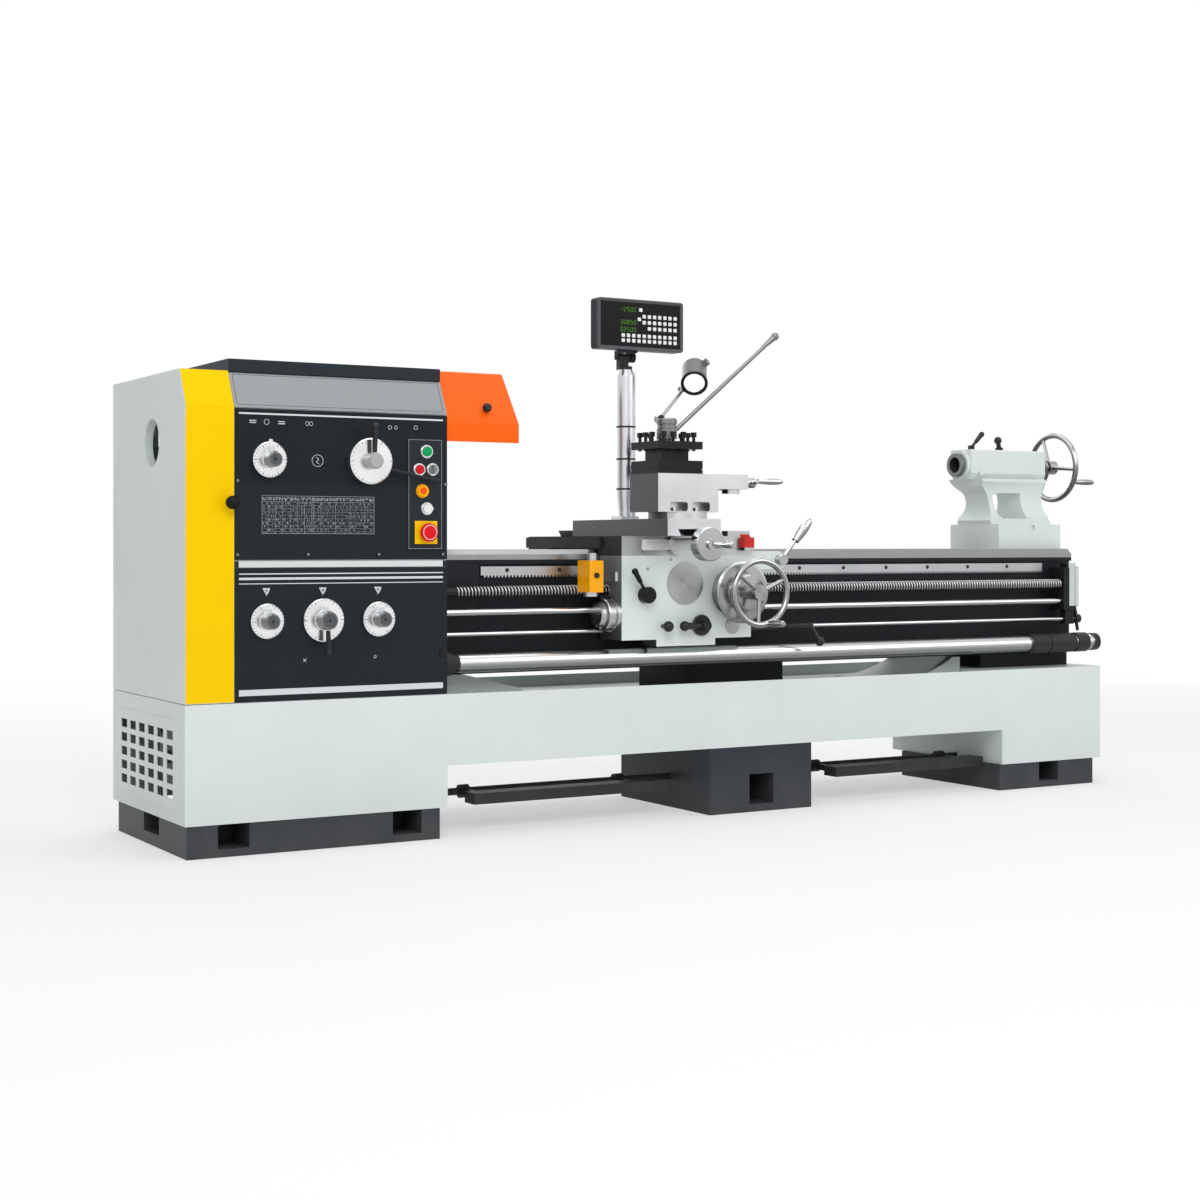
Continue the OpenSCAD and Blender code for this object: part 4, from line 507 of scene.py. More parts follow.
def feed_marks(net, x, y, z):
    """1 on the small triangles that stand over the three feed knobs, point down, with a dot in each."""
    r = refs()

    def mark(offset):
        u, v = abs(x - (r["x0"] + offset)), z - (r["axis_z"] - FEED_MARK_DROP)
        dot = (u * u + (v - 0.003) * (v - 0.003)) > 0.0026 ** 2
        return (u < (v + 0.013) * 0.5) * (v < 0.011) * dot

    return total(mark(offset) for offset in FEED_MARK_OFFSETS) > 0.5


def ring_mark(x, z, at, radius, width):
    """1 on a thin ring in the XZ plane."""
    u, v = x - at[0], z - at[1]
    return (u * u + v * v).between((radius - width) ** 2, radius ** 2)


def panel_signs(net, x, y, z):
    """Pale finish on the printed signs of the panels: rings, pairs of bars, a curl in a ring, a cross."""
    r = refs()

    def at(dx, dz):
        return r["x0"] + dx, r["axis_z"] + dz

    def away(sign):
        cx, cz = at(*sign)
        return x - cx, z - cz

    rings = [ring_mark(x, z, at(dx, dz), radius, 0.0014) for dx, dz, radius in RING_SIGNS]
    u, v = away(CURL_SIGN)
    curl = (abs(u - (v * 330).sine() * 0.0045 + v * 0.4) < 0.0013) * (abs(v) < 0.0105)
    bars = []
    for sign in BAR_SIGNS:
        u, v = away(sign)
        bars.append((abs(u) < 0.0105) * (abs(v) < 0.0014))
    u, v = (abs(part) for part in away(CROSS_SIGN))
    cross = (abs(u - v) < 0.0013) * (u < 0.0048)
    marks = total([feed_marks(net, x, y, z), *rings, curl, *bars, cross])
    return marks > 0.5, (0.62, 0.64, 0.64), 0.45, 0.0


# ---------------------------------------------------------------- surfaces

def grid_quads(index):
    """The four corners of each cell of a grid of point numbers."""
    return np.stack([index[:-1, :-1], index[1:, :-1], index[1:, 1:], index[:-1, 1:]], -1).reshape(-1, 4)


def surface(name, grid, loop_u=False, loop_v=False, cap_v=False, smooth=True, body=None,
            material=None, slot=None):
    """Mesh of a grid of points with rows u and columns v; cap_v closes the first and last column with a
    pole."""
    grid = np.asarray(grid, float)
    n, m = grid.shape[:2]
    points = grid.reshape(-1, 3)
    index = np.arange(n * m).reshape(n, m)
    if loop_u:
        index = np.vstack([index, index[:1]])
    if loop_v:
        index = np.hstack([index, index[:, :1]])
    faces = grid_quads(index).tolist()
    if cap_v:
        poles = np.stack([grid[:, 0].mean(0), grid[:, -1].mean(0)])
        base = len(points)
        points = np.vstack([points, poles])
        first, last = index[:, 0], index[:, -1]
        faces += np.stack([first[1:], first[:-1], np.full(len(first) - 1, base)], -1).tolist()
        faces += np.stack([last[:-1], last[1:], np.full(len(last) - 1, base + 1)], -1).tolist()
    return mesh_object(name, points, faces, True, smooth, body, material, slot)


def mesh_object(name, points, faces, closed=True, smooth=True, body=None, material=None, slot=None):
    """Object from points and faces, riding on its body; a closed mesh whose volume comes out negative is
    turned, so that its faces point outwards."""
    mesh = bpy.data.meshes.new(name)
    mesh.from_pydata(np.asarray(points).tolist(), [], faces)
    mesh.validate()
    mesh.update()
    if closed:
        mesh.calc_loop_triangles()
        corners = np.empty(3 * len(mesh.loop_triangles), np.int32)
        mesh.loop_triangles.foreach_get("vertices", corners)
        a, b, c = np.moveaxis(np.asarray(points, float)[corners.reshape(-1, 3)], 1, 0)
        if np.einsum("ij,ij->", a, np.cross(b, c)) < 0:
            mesh.flip_normals()
    if smooth:
        mesh.polygons.foreach_set("use_smooth", np.ones(len(mesh.polygons), bool))
        mesh.set_sharp_from_angle(angle=np.radians(38))
    thing = bpy.data.objects.new(name, mesh)
    bpy.context.scene.collection.objects.link(thing)
    if material is not None:
        mesh.materials.append(material)
    if body:
        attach(thing, body)
    return thing


AXES = {0: (1, 2), 1: (2, 0), 2: (0, 1)}


def revolve(profile, centre, axis=2, steps=48):
    """Points of a profile of (radius, distance along the axis) turned once round the axis."""
    profile = np.asarray(profile, float)
    turn = np.linspace(0, TAU, steps, endpoint=False)[:, None]
    grid = np.empty((steps, len(profile), 3))
    a, b = AXES[axis]
    grid[..., a] = centre[a] + profile[:, 0] * np.cos(turn)
    grid[..., b] = centre[b] + profile[:, 0] * np.sin(turn)
    grid[..., axis] = centre[axis] + profile[:, 1]
    return grid


def turned_profile(profile, steps):
    """Points of a profile of (radius, height) turned once round the Z axis."""
    return revolve(profile, (0, 0, 0), 2, steps)


def aimed(grid, origin, direction):
    """Points made round the Z axis, turned so that Z points along a direction, and moved to an origin."""
    z = np.asarray(direction, float) / np.linalg.norm(direction)
    x = np.cross((0.0, 1.0, 0.0), z)
    x /= np.linalg.norm(x)
    return np.asarray(origin) + grid @ np.array([x, np.cross(z, x), z])


def frame_loop(x, z, corner, profile, steps=6):
    """Points of a profile of (distance outwards, y) carried round a rectangle with rounded corners: each
    corner's centre plus (corner radius + distance) times (cos a, sin a)."""
    profile = np.asarray(profile, float)
    turn = np.concatenate([np.linspace(q, q + 1, steps) for q in range(4)]) * np.pi / 2
    middle = np.repeat([(x[1] - corner, z[1] - corner), (x[0] + corner, z[1] - corner),
                        (x[0] + corner, z[0] + corner), (x[1] - corner, z[0] + corner)], steps, 0)
    radius = corner + profile[:, :1]
    back = np.broadcast_to(profile[:, 1:], (len(profile), len(turn)))
    return np.stack([middle[:, 0] + radius * np.cos(turn), back, middle[:, 1] + radius * np.sin(turn)], -1)


def cushion_box(centres, half, power=5.0, rings=7, sides=16):
    """Rounded boxes: superellipsoids |x/a|^p + |y/b|^p + |z/c|^p = 1, one at each centre, in one list."""
    lat = np.linspace(-np.pi / 2, np.pi / 2, rings)[None, :]
    lon = np.linspace(0, TAU, sides, endpoint=False)[:, None]

    def bend(v):
        return np.sign(v) * np.abs(v) ** (2 / power)

    shape = np.stack([bend(np.cos(lat)) * bend(np.cos(lon)), bend(np.cos(lat)) * bend(np.sin(lon)),
                      np.broadcast_to(bend(np.sin(lat)), (sides, rings))], -1) * np.asarray(half)
    index = np.arange(sides * rings).reshape(sides, rings)
    quads = grid_quads(np.vstack([index, index[:1]]))
    centres = np.asarray(centres, float)
    points = (shape.reshape(1, -1, 3) + centres[:, None]).reshape(-1, 3)
    faces = (quads[None] + (np.arange(len(centres)) * sides * rings)[:, None, None]).reshape(-1, 4)
    return points, faces.tolist()


def rounded(corners, radius, steps=6):
    """Open line of 2-D points with each inner corner replaced by an arc that touches both sides."""
    corners = np.asarray(corners, float)
    out = [corners[:1]]
    for before, here, after in zip(corners[:-2], corners[1:-1], corners[2:]):
        a, b = before - here, after - here
        a, b = a / np.linalg.norm(a), b / np.linalg.norm(b)
        half = np.arccos(np.clip(a @ b, -1, 1)) / 2
        cut = radius / np.tan(half)
        centre = here + (a + b) / np.linalg.norm(a + b) * radius / np.sin(half)
        start, end = here + a * cut - centre, here + b * cut - centre
        turn = np.arctan2(start[0] * end[1] - start[1] * end[0], start @ end)
        t = np.linspace(0, turn, steps)[:, None]
        out.append(centre + start * np.cos(t) + np.array([-start[1], start[0]]) * np.sin(t))
    out.append(corners[-1:])
    return np.vstack(out)


def plates(centres, half):
    """Thin hexagon-ended bars in the XZ plane: six corners at (+-a, 0), (+-b, +-c), drawn out along Y.

    Each row of half is (half length, half width, half depth, upright), and upright bars stand along Z.
    """
    centres, half = np.asarray(centres, float), np.asarray(half, float)
    a, c, d, upright = half.T[:, :, None]
    b = a - c
    along = np.hstack([a, b, -b, -a, -b, b])
    across = np.hstack([0 * a, c, c, 0 * a, -c, -c])
    x = np.where(upright > 0, across, along)
    z = np.where(upright > 0, -along, across)
    ring = np.stack([x, np.zeros_like(x), z], -1) + centres[:, None]
    depth = d[..., None] * np.array([0, 1.0, 0])
    points = np.concatenate([ring - depth, ring + depth], 1).reshape(-1, 3)
    base = np.arange(len(centres))[:, None] * 12
    faces = []
    i = np.arange(6)
    side = np.stack([i, i + 6, (i + 1) % 6 + 6, (i + 1) % 6], -1)
    faces += (base[:, :, None] + side[None]).reshape(-1, 4).tolist()
    faces += (base + i[None]).tolist() + (base + i[None, ::-1] + 6).tolist()
    return points, faces


def sheet_profile(line, thickness):
    """Closed loop round an open 2-D line: the line itself, then the line moved by the thickness along its
    own normal, walked back."""
    line = np.asarray(line, float)
    tangent = np.gradient(line, axis=0)
    tangent /= np.linalg.norm(tangent, axis=1, keepdims=True)
    normal = np.stack([-tangent[:, 1], tangent[:, 0]], -1)
    return np.vstack([line, (line + normal * thickness)[::-1]])


def extrude_sheet(loop, x0, x1):
    """Points and faces of a sheet profile of (y, z) drawn out along X, its ends closed by strips of quads."""
    n = len(loop)
    ends = [np.column_stack([np.full(n, x), loop]) for x in (x0, x1)]
    i = np.arange(n)
    faces = np.stack([i, (i + 1) % n, (i + 1) % n + n, i + n], -1).tolist()
    k = np.arange(n // 2 - 1)
    strip = np.stack([k, n - 1 - k, n - 2 - k, k + 1], -1)
    faces += strip.tolist() + (strip[:, ::-1] + n).tolist()
    return np.vstack(ends), faces


# ---------------------------------------------------------------- reference places

PLACES = {}


def refs():
    """Places that the finishes and pieces share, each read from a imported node's box the first time."""
    if not PLACES:
        low, high, _ = span("front_panels")
        start = span("start_button")[2]
        PLACES.update(x0=low[0] - 0.001, x1=high[0], front=low[1], axis_z=span("spindle")[2][2],
                      button_panel=(start[0] - 0.005, start[2] - 0.132))
    return PLACES


def lamp_mouth():
    """Middle of the lamp's mouth, and the direction from there into the can."""
    opening = next(o for o in frame["record"]["physics"]["openings"] if o["name"] == "lamp_shade")
    return np.mean(opening["box_m"][:2], axis=0) - LAMP_MOUTH_AHEAD * LAMP_AXIS, LAMP_AXIS


def dress(material, *nodes):
    """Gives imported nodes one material, through their objects' own slots."""
    for name in nodes:
        for place in frame["nodes"][name].material_slots:
            place.material = material


def body_of(node):
    """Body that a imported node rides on."""
    return frame["nodes"][node]["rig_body"]


# ---------------------------------------------------------------- operators

class LATHE_OT_paint(bpy.types.Operator):
    """Paints the cabinets, covers, castings and panels"""
    bl_idname = "lathe.paint"
    bl_label = "Paint the covers and castings"

    def execute(self, context):
        f, r = finish_values(), refs()
        light, slate, panel = f.cover_paint[:], dimmed(f.casting_paint[:], 0.65), f.panel_paint[:]
        bare = (0.52, 0.53, 0.54)
        dull = {"shine": 0.15}

        low, high, _ = span("headstock_base")
        # painted shade: the cabinet's inner faces, seen through its vents, are near-black
        inside_painted_shade = region(PAINT_BLACK, 0.7, x=(low[0] + 0.004, high[0] - 0.02),
                        y=(low[1] + 0.01, high[1] - 0.01), z=(0.12, high[2] - 0.006))
        dress(painted("cabinet_paint", light, masks=[inside_painted_shade]), "headstock_base")
        dress(painted("cover_paint", light), "chip_tray", "end_cabinet", "headstock_casing",
              "end_cover")
        low, high, _ = span("apron")
        # painted shade on the apron's faces that look towards the headstock
        shadow = left_faces_painted_shade(SHADE_BLACK, 0.5, low[2], high[2])
        arm = region((0.05, 0.05, 0.052), 0.4, x=(low[0] - 0.01, span("saddle")[0][0] + 0.0005),
                     z=(0.6, ABOVE_ALL))
        dress(painted("apron_paint", light, 0.38, 0.22, masks=[shadow, arm]), "apron")
        dress(painted("tailstock_paint", light, 0.38, 0.22), "tailstock_body")

        dress(painted("plinth_paint", slate, 0.42, 0.3, **dull), "floor_plinths")
        dress(painted("motor_paint", slate, 0.42, 0.3, **dull), "main_motor")
        dress(painted("readout_paint", dimmed(slate, 0.45), 0.4, 0.25, **dull), "readout")
        upper = region(dimmed(panel, 0.4), 0.4, z=(r["axis_z"] - 0.13, ABOVE_ALL))
        dress(painted("panel_paint", dimmed(panel, 0.57), 0.4, 0.2, masks=[upper, panel_signs], **dull),
              "front_panels")
        dress(painted("lid_paint", dimmed(panel, 0.88), 0.45, 0.2, **dull), "top_cover")
        end, rod_z = span("end_bracket")[1][0], span("feed_rod")[2][2]
        plate = region(dimmed(light, 0.8), 0.35, x=(end - 0.044, end + 0.01), z=(rod_z - 0.019, ABOVE_ALL))
        dress(painted("bracket_paint", PAINT_BLACK, 0.4, 0.3, masks=[plate], **dull), "end_bracket")
        dress(painted("pedal_paint", (0.02, 0.022, 0.024), 0.4, 0.3, **dull), "brake_pedal")
        knob = region(PAINT_BLACK, 0.2, y=(AHEAD_OF_ALL, r["front"] - 0.0024))
        dress(painted("trim_paint", f.trim_paint[:], shine=0.08, masks=[knob]), "cover_trim")

        low, high, _ = span("thread_dial")
        dress(painted("amber_paint", rgb(255, 173, 0), 0.3,
                      masks=[region(PAINT_BLACK, 0.3, y=(AHEAD_OF_ALL, low[1] + 0.0058)),
                             region(bare, 0.28, 1.0, z=(0.0, low[2] + 0.0138)),
                             region(bare, 0.28, 1.0, z=(high[2] - 0.0238, ABOVE_ALL))]), "thread_dial")
        bed_top = span("bed")[1][2]
        ways = region((0.3, 0.305, 0.31), 0.27, 1.0, z=(bed_top - 0.033, bed_top + 0.01))

        def seams(net, x, y, z):
            line = ((x + 0.07) % 0.32) < 0.0035
            return line * (z < bed_top - 0.04), (0.006, 0.007, 0.008), 0.5

        dress(painted("bed_paint", dimmed(slate, 0.36), 0.45, 0.35, masks=[seams, ways], **dull), "bed")
        return {"FINISHED"}


def saddle_masks():
    """The painted shade on the left faces, the wipers at both ends, the bare plate on the front and the red
    stop.
    """
    low, high, _ = span("saddle")
    wiper = 0.0103
    stop_back = span("apron_covers")[1][1] - 0.0005
    return [left_faces_painted_shade(SHADE_BLACK, 0.5, low[2], high[2]),
            region(OXIDE_BLACK, 0.5, 0.0, x=(low[0] - 0.01, low[0] + wiper)),
            region(OXIDE_BLACK, 0.5, 0.0, x=(high[0] - wiper, high[0] + 0.01)),
            region((0.7, 0.71, 0.7), 0.4, 0.0, x=(low[0] + 0.088, low[0] + 0.242),
                   y=(low[1] - 0.2, span("apron")[0][1] + 0.2), z=(high[2] - 0.0685, high[2] - 0.0335)),
            region((0.6, 0.03, 0.025), 0.35, 0.0, x=(high[0] - 0.053, high[0] - 0.0115),
                   y=(low[1] - 0.2, stop_back), z=(high[2] - 0.0605, high[2] - 0.0155))]


def rack_heads(net, x, y, z):
    """Black finish on the round heads of the rack's screws, one at each pitch."""
    low = span("rack")[0]
    pitch, first, height = 0.195, low[0] + 0.095, low[2] + 0.0232
    u = (x - (first - pitch / 2)) % pitch - pitch / 2
    return (u * u + (z - height) * (z - height)) < 0.0072 ** 2, OXIDE_BLACK, 0.4, 0.0


def knob_metal(name, radius, hub):
    """Material of a dial knob: a disc with lines, a grey hub with a dark cap and a hole in it."""
    low, high, mid = span(name)
    mid = np.array([low[0] + radius, mid[1], high[2] - radius])
    on_axis = {"centre": mid, "axis": 1}
    masks = []
    if hub:
        masks = [within(IRON, 0.3, 1.0, radius=hub, **on_axis),
                 within((0.1, 0.105, 0.11), 0.35, 1.0, radius=hub - 0.007, front=low[1] + 0.012, **on_axis),
                 within(OXIDE_BLACK, 0.6, 0.0, radius=0.0042, **on_axis)]
    if name == "feed_knob_centre":
        masks.append(region(OXIDE_BLACK, 0.3, 0.0, y=(low[1] - 0.01, high[1] - 0.03),
                            z=(mid[2] - 0.12, mid[2] - 0.03)))
    if name == "speed_ring":
        masks = [beyond(OXIDE_BLACK, 0.3, 0.0, radius=SPEED_DISC_RADIUS + 0.0005, **on_axis)]
    return turned(name + "_metal", (0.86, 0.87, 0.88), mid, 1, 0.2,
                  (radius - 0.012, radius - 0.002, detail_values().tick_step), masks)


class LATHE_OT_metal(bpy.types.Operator):
    """Gives the slides, shafts, dials and wheels their ground, turned and blackened surfaces"""
    bl_idname = "lathe.metal"
    bl_label = "Finish the bare metal"

    def execute(self, context):
        wear = finish_values().oil_wear
        # slide darkens the faces that look along X: painted shade
        slide = {"along": (1, 50, 50), "clouds": wear, "painted_side_shade": 0.9}
        # shaft paints a reflection band: dark underneath, bright along the top
        shaft = {"along": (60, 1, 1), "depth": 0.1, "clouds": 0.1, "painted_reflection": 0.75}
        polish = {"along": (2, 2, 2), "depth": 0.05, "clouds": 0.1}
        dress(streaked("saddle_steel", STEEL, 0.3, masks=saddle_masks(), **slide), "saddle")
        dress(streaked("ground_steel", (0.56, 0.57, 0.58), 0.3, **slide), "cross_slide",
              "compound_base", "top_slide")
        dress(streaked("rack_steel", STEEL, 0.3, (1, 40, 40), clouds=wear, masks=[rack_heads]), "rack")
        dress(streaked("shaft_steel", BRIGHT_STEEL, 0.16, **shaft), "feed_rod")
        end = span("control_rod")[1][0]
        cap = region(OXIDE_BLACK, 0.35, 0.0, x=(end - 0.0245, end - 0.001))
        dress(streaked("start_rod_steel", BRIGHT_STEEL, 0.16, masks=[cap], **shaft), "control_rod")

        low, high, _ = span("readout_column")
        bands = [(low[2] + at, low[2] + at + 0.006) for at in (0.102, 0.204, 0.314)]
        post = [region(OXIDE_BLACK, 0.35, 0.0, z=band) for band in bands]
        post.append(region(OXIDE_BLACK, 0.4, 0.0, z=(low[2] + 0.5125, high[2] + 0.01)))
        dress(streaked("column_steel", (0.62, 0.63, 0.65), 0.2, (50, 50, 1), 0.1, clouds=0.1, masks=post),
              "readout_column")
        low = span("guard_rail")[0]
        tube = {"centre": (0, low[1] + 0.038, low[2] + 0.038), "axis": 0, "radius": 0.0312}
        rail = [beyond(OXIDE_BLACK, 0.4, 0.0, **tube),
                region(OXIDE_BLACK, 0.4, 0.0, x=(low[0] - 0.01, low[0] + 0.05))]
        # the rail's chrome gets a painted reflection band
        dress(streaked("rail_chrome", (0.78, 0.79, 0.8), 0.2, (60, 1, 1), 0.06, clouds=0.08,
                       painted_reflection=0.8, masks=rail), "guard_rail")

        dress(streaked("cast_iron", IRON, 0.42, (4, 4, 4), 0.4, clouds=wear), "end_drive", "quill")
        dress(streaked("black_oxide", (0.022, 0.023, 0.025), 0.36, (3, 3, 3), 0.3, clouds=0.5),
              "tool_post", "half_nut_lever")
        # painted reflection bands on the cranks, the engage lever and the tailstock's wheel
        dress(streaked("polished", (0.72, 0.73, 0.74), 0.12, painted_reflection=0.8, **polish), "cross_crank",
              "top_crank", "engage_lever")
        dress(streaked("wheel_chrome", (0.5, 0.51, 0.52), 0.16, painted_reflection=0.9, **polish),
              "tail_handwheel")
        low, _, mid = span("lamp_arm")

        def arm_joints(net, x, y, z):
            return abs(y - float(mid[1])) > 0.0078, OXIDE_BLACK, 0.35, 0.0

        foot = region(OXIDE_BLACK, 0.35, 0.0, z=(low[2] - 0.01, low[2] + 0.026))
        dress(streaked("arm_chrome", (0.35, 0.36, 0.37), 0.2, masks=[foot, arm_joints], **polish),
              "lamp_arm")
        dress(streaked("lever_steel", (0.2, 0.2, 0.205), 0.3, (2, 2, 2), 0.1), "clamp_lever")

        for name, radius, hub in (("range_knob", RANGE_KNOB_RADIUS, 0.024),
                                  ("speed_ring", SPEED_DISC_RADIUS, 0.0),
                                  ("feed_knob_left", 0.052, 0.025), ("feed_knob_centre", 0.065, 0.029),
                                  ("feed_knob_right", 0.053, 0.025)):
            dress(knob_metal(name, radius, hub), name)
        # painted reflection band and painted sheen on the handwheel
        dress(turned("handwheel_metal", (0.62, 0.63, 0.64), span("apron_handwheel")[2], 1,
                     painted_reflection=0.8, painted_sheen=0.5), "apron_handwheel")
        cover = (span("saddle")[0][0] + 0.256, 0, span("leadscrew")[2][2] + 0.02)
        # the cover's disc: a strong painted sheen round its axis
        dress(turned("cover_metal", (0.45, 0.46, 0.46), cover, 1, 0.3, painted_sheen=0.6), "apron_covers")
        # painted light: the spindle's rear end, seen through the end cover's hole, is pale and partly matt so
        # it looks lit
        rear_painted_light = region((0.8, 0.8, 0.8), 0.35, 0.4, x=(LEFT_OF_ALL, refs()["x0"] - 0.01))
        dress(turned("spindle_metal", STEEL, span("spindle")[2], 0, 0.24, masks=[rear_painted_light]), "spindle")
        dress(painted("lamp_paint", (0.17, 0.172, 0.178), 0.35, shine=0.2, masks=[lamp_rim]), "lamp_head")
        return {"FINISHED"}


class LATHE_OT_controls(bpy.types.Operator):
    """Gives the buttons, knobs and levers their plastics"""
    bl_idname = "lathe.controls"
    bl_label = "Finish the buttons and levers"

    def execute(self, context):
        low, high, _ = span("speed_ring")
        centre = (low[0] + SPEED_DISC_RADIUS, 0, high[2] - SPEED_DISC_RADIUS)
        hub = within((0.4, 0.405, 0.41), 0.3, centre=centre, axis=1, radius=0.0262)
        dress(moulded("lever_plastic", BLACK, masks=[hub]), "speed_lever")
        dress(moulded("black_plastic", BLACK), "feed_knob", "feed_lever", "control_lever",
              "quill_lock", "tail_clamp")
        for name, colour, node in (("grey_plastic", (0.25, 0.26, 0.26), "mode_switch"),
                                   ("green_plastic", rgb(0, 158, 84), "start_button"),
                                   ("stop_plastic", rgb(214, 28, 34), "stop_button"),
                                   ("white_plastic", rgb(238, 238, 232), "coolant_button")):
            dress(moulded(name, colour, shine=0.15), node)
        low, _, mid = span("emergency_button")
        pale = within((0.85, 0.75, 0.72), 0.3, centre=mid, axis=1, radius=0.0232, inner=0.0212,
                      front=low[1] + 0.008)
        dress(moulded("red_plastic", rgb(224, 24, 30), masks=[pale], shine=0.12), "emergency_button")
        rim = within(rgb(255, 190, 0), 0.3, centre=span("jog_button")[2], axis=1, radius=0.02,
                     inner=0.0118)
        dress(moulded("jog_plastic", rgb(250, 88, 24), masks=[rim], shine=0.12), "jog_button")
        return {"FINISHED"}


def fascia_slope_masks(x0, x1, panel):
    """Tint of the sloped plate above the crease with a fine border, and the dark ends below it."""
    crease, top = refs()["axis_z"] + 0.095, span("fascia")[1][2]

    def slope(net, x, y, z):
        return z > crease, (0.3, 0.316, 0.322), 0.3

    def border(net, x, y, z):
        inner = z.between(crease + 0.009, top - 0.009) * x.between(x0 + 0.012, x1 - 0.012)
        outer = z.between(crease + 0.0075, top - 0.0075) * x.between(x0 + 0.01, x1 - 0.01)
        return outer * (1 - inner), (0.07, 0.075, 0.08), 0.4

    return [slope, border,
            region(panel, 0.4, 0.0, x=(x1 - 0.015, x1 + 0.01), z=(0.0, crease - 0.001)),
            region(panel, 0.4, 0.0, x=(x0 - 0.01, x0 + 0.014), z=(0.0, crease - 0.001))]


def fascia_fastener_masks(x0, x1, panel):
    """Gaps between the trim strips, the panels' screws, and the signs and the stud beside them."""
    axis_z = refs()["axis_z"]
    split = axis_z - 0.37
    gaps = [region(panel, 0.4, 0.0, z=(split - at, split - at + tall))
            for at, tall in ((0.0605, 0.005), (0.0236, 0.0042))]

    def discs_at_screws(x, z, radius):
        squares = [(x - (x0 + dx), z - (axis_z + dz)) for dx, dz in PANEL_SCREWS]
        return total((u * u + v * v) < radius ** 2 for u, v in squares) > 0.5

    def screw_seats(net, x, y, z):
        return discs_at_screws(x, z, 0.0075), panel, 0.4, 0.0

    def screw_heads(net, x, y, z):
        return discs_at_screws(x, z, 0.0042), (0.22, 0.22, 0.23), 0.3, 1.0

    def mark_discs(net, x, y, z):
        return (z - (axis_z - FEED_MARK_DROP)).between(-0.0095, 0.0095), panel, 0.4, 0.0

    def triangles(net, x, y, z):
        return feed_marks(net, x, y, z), (0.6, 0.62, 0.62), 0.45, 0.0

    stud = within(BLACK, 0.3, 0.0, centre=(x1 - 0.014, 0, axis_z - 0.645), axis=1, radius=0.0125)
    return [*gaps, screw_seats, screw_heads, mark_discs, triangles, stud]


def button_panel_masks(panel):
    """The dark plate under the buttons with its outline, their bright rings and the yellow plates."""
    bx, bz = refs()["button_panel"]
    ground = region(panel, 0.38, 0.0, x=(bx - 0.061, bx + 0.061), z=(bz - 0.173, bz + 0.173))

    def outline(net, x, y, z):
        across, up = abs(x - bx), abs(z - bz)
        inner = (across < 0.0552) * (up < 0.1672)
        outer = (across < 0.0562) * (up < 0.1682)
        return outer - inner, (0.42, 0.44, 0.44), 0.4

    def bezels(net, x, y, z):
        rings = []
        for node in ("start_button", "stop_button", "mode_switch", "jog_button", "coolant_button"):
            low, high, mid = span(node)
            square = around((x, y, z), mid, 1)[2]
            rings.append(square < ((high[0] - low[0]) / 2 + 0.0055) ** 2)
        return total(rings) > 0.5, (0.7, 0.71, 0.72), 0.2, 1.0

    def jog_seat(net, x, y, z):
        mid = span("jog_button")[2]
        return ring_mark(x, z, (mid[0], mid[2]), 0.0215, 0.006), rgb(255, 176, 0), 0.3, 0.0

    mid = span("emergency_button")[2]
    yellow = region((1.0, 0.6, 0.0), 0.3, 0.0, x=(mid[0] - 0.0385, mid[0] + 0.0385),
                    z=(mid[2] - 0.0355, mid[2] + 0.0355))
    return [ground, outline, bezels, jog_seat, yellow]


def data_plate_masks(x0, x1, panel):
    """The dark data plate and, on it, a border, ruled lines and rows of short dashes for entries."""
    axis_z = refs()["axis_z"]
    plate_x, plate_z = (x0 + 0.0815, x1 - 0.2435), (axis_z - 0.2795, axis_z - 0.1605)
    wide, tall = plate_x[1] - plate_x[0], plate_z[1] - plate_z[0]
    row = 0.0098

    def table(net, x, y, z):
        u, v = x - plate_x[0], plate_z[1] - z
        inside = u.between(0.003, wide - 0.003) * v.between(0.003, tall - 0.003)
        edge = inside * (1 - u.between(0.0042, wide - 0.0042) * v.between(0.0042, tall - 0.0042))
        left = u.between(0.004, 0.164)
        right = u.between(0.168, wide - 0.004)
        rows = ((v - 0.021) % row) < 0.0007
        columns = left * ((u % 0.0228) < 0.0008) + right * ((u % 0.0473) < 0.0008)
        rules = ((rows + columns) > 0.5) * (v > 0.0205)
        head = v.between(0.0205, 0.0214) + u.between(0.1638, 0.1646) + u.between(0.1672, 0.168)
        cell = net.add("ShaderNodeTexNoise", {"noise_dimensions": "2D"},
                       {"Vector": net.add("ShaderNodeCombineXYZ", None, [u * 260, v * 90, 0.0]),
                        "Scale": 1.0, "Detail": 1.0})
        entries = (cell > 0.6) * ((v - 0.0235) % row).between(0.0, 0.0042) * (v > 0.021)
        title = (cell > 0.5) * v.between(0.008, 0.0165)
        return (inside * (rules + head + entries + title + edge)) > 0.5, (0.3, 0.315, 0.32), 0.45, 0.0

    return [region(panel, 0.4, 0.0, x=plate_x, z=plate_z), table]


class LATHE_OT_fascia(bpy.types.Operator):
    """Brushes the silver fascia and strips, and draws the data plate and the button panel"""
    bl_idname = "lathe.fascia"
    bl_label = "Finish the fascia"

    def execute(self, context):
        x0, x1 = refs()["x0"], refs()["x1"]
        panel = dimmed(finish_values().panel_paint[:], 0.62)
        masks = [*fascia_slope_masks(x0, x1, panel), *fascia_fastener_masks(x0, x1, panel),
                 *button_panel_masks(panel), *data_plate_masks(x0, x1, panel)]
        dress(streaked("fascia_silver", (0.66, 0.68, 0.69), 0.27, (1, 70, 70), 0.12, clouds=0.05,
                       masks=masks), "fascia")
        return {"FINISHED"}


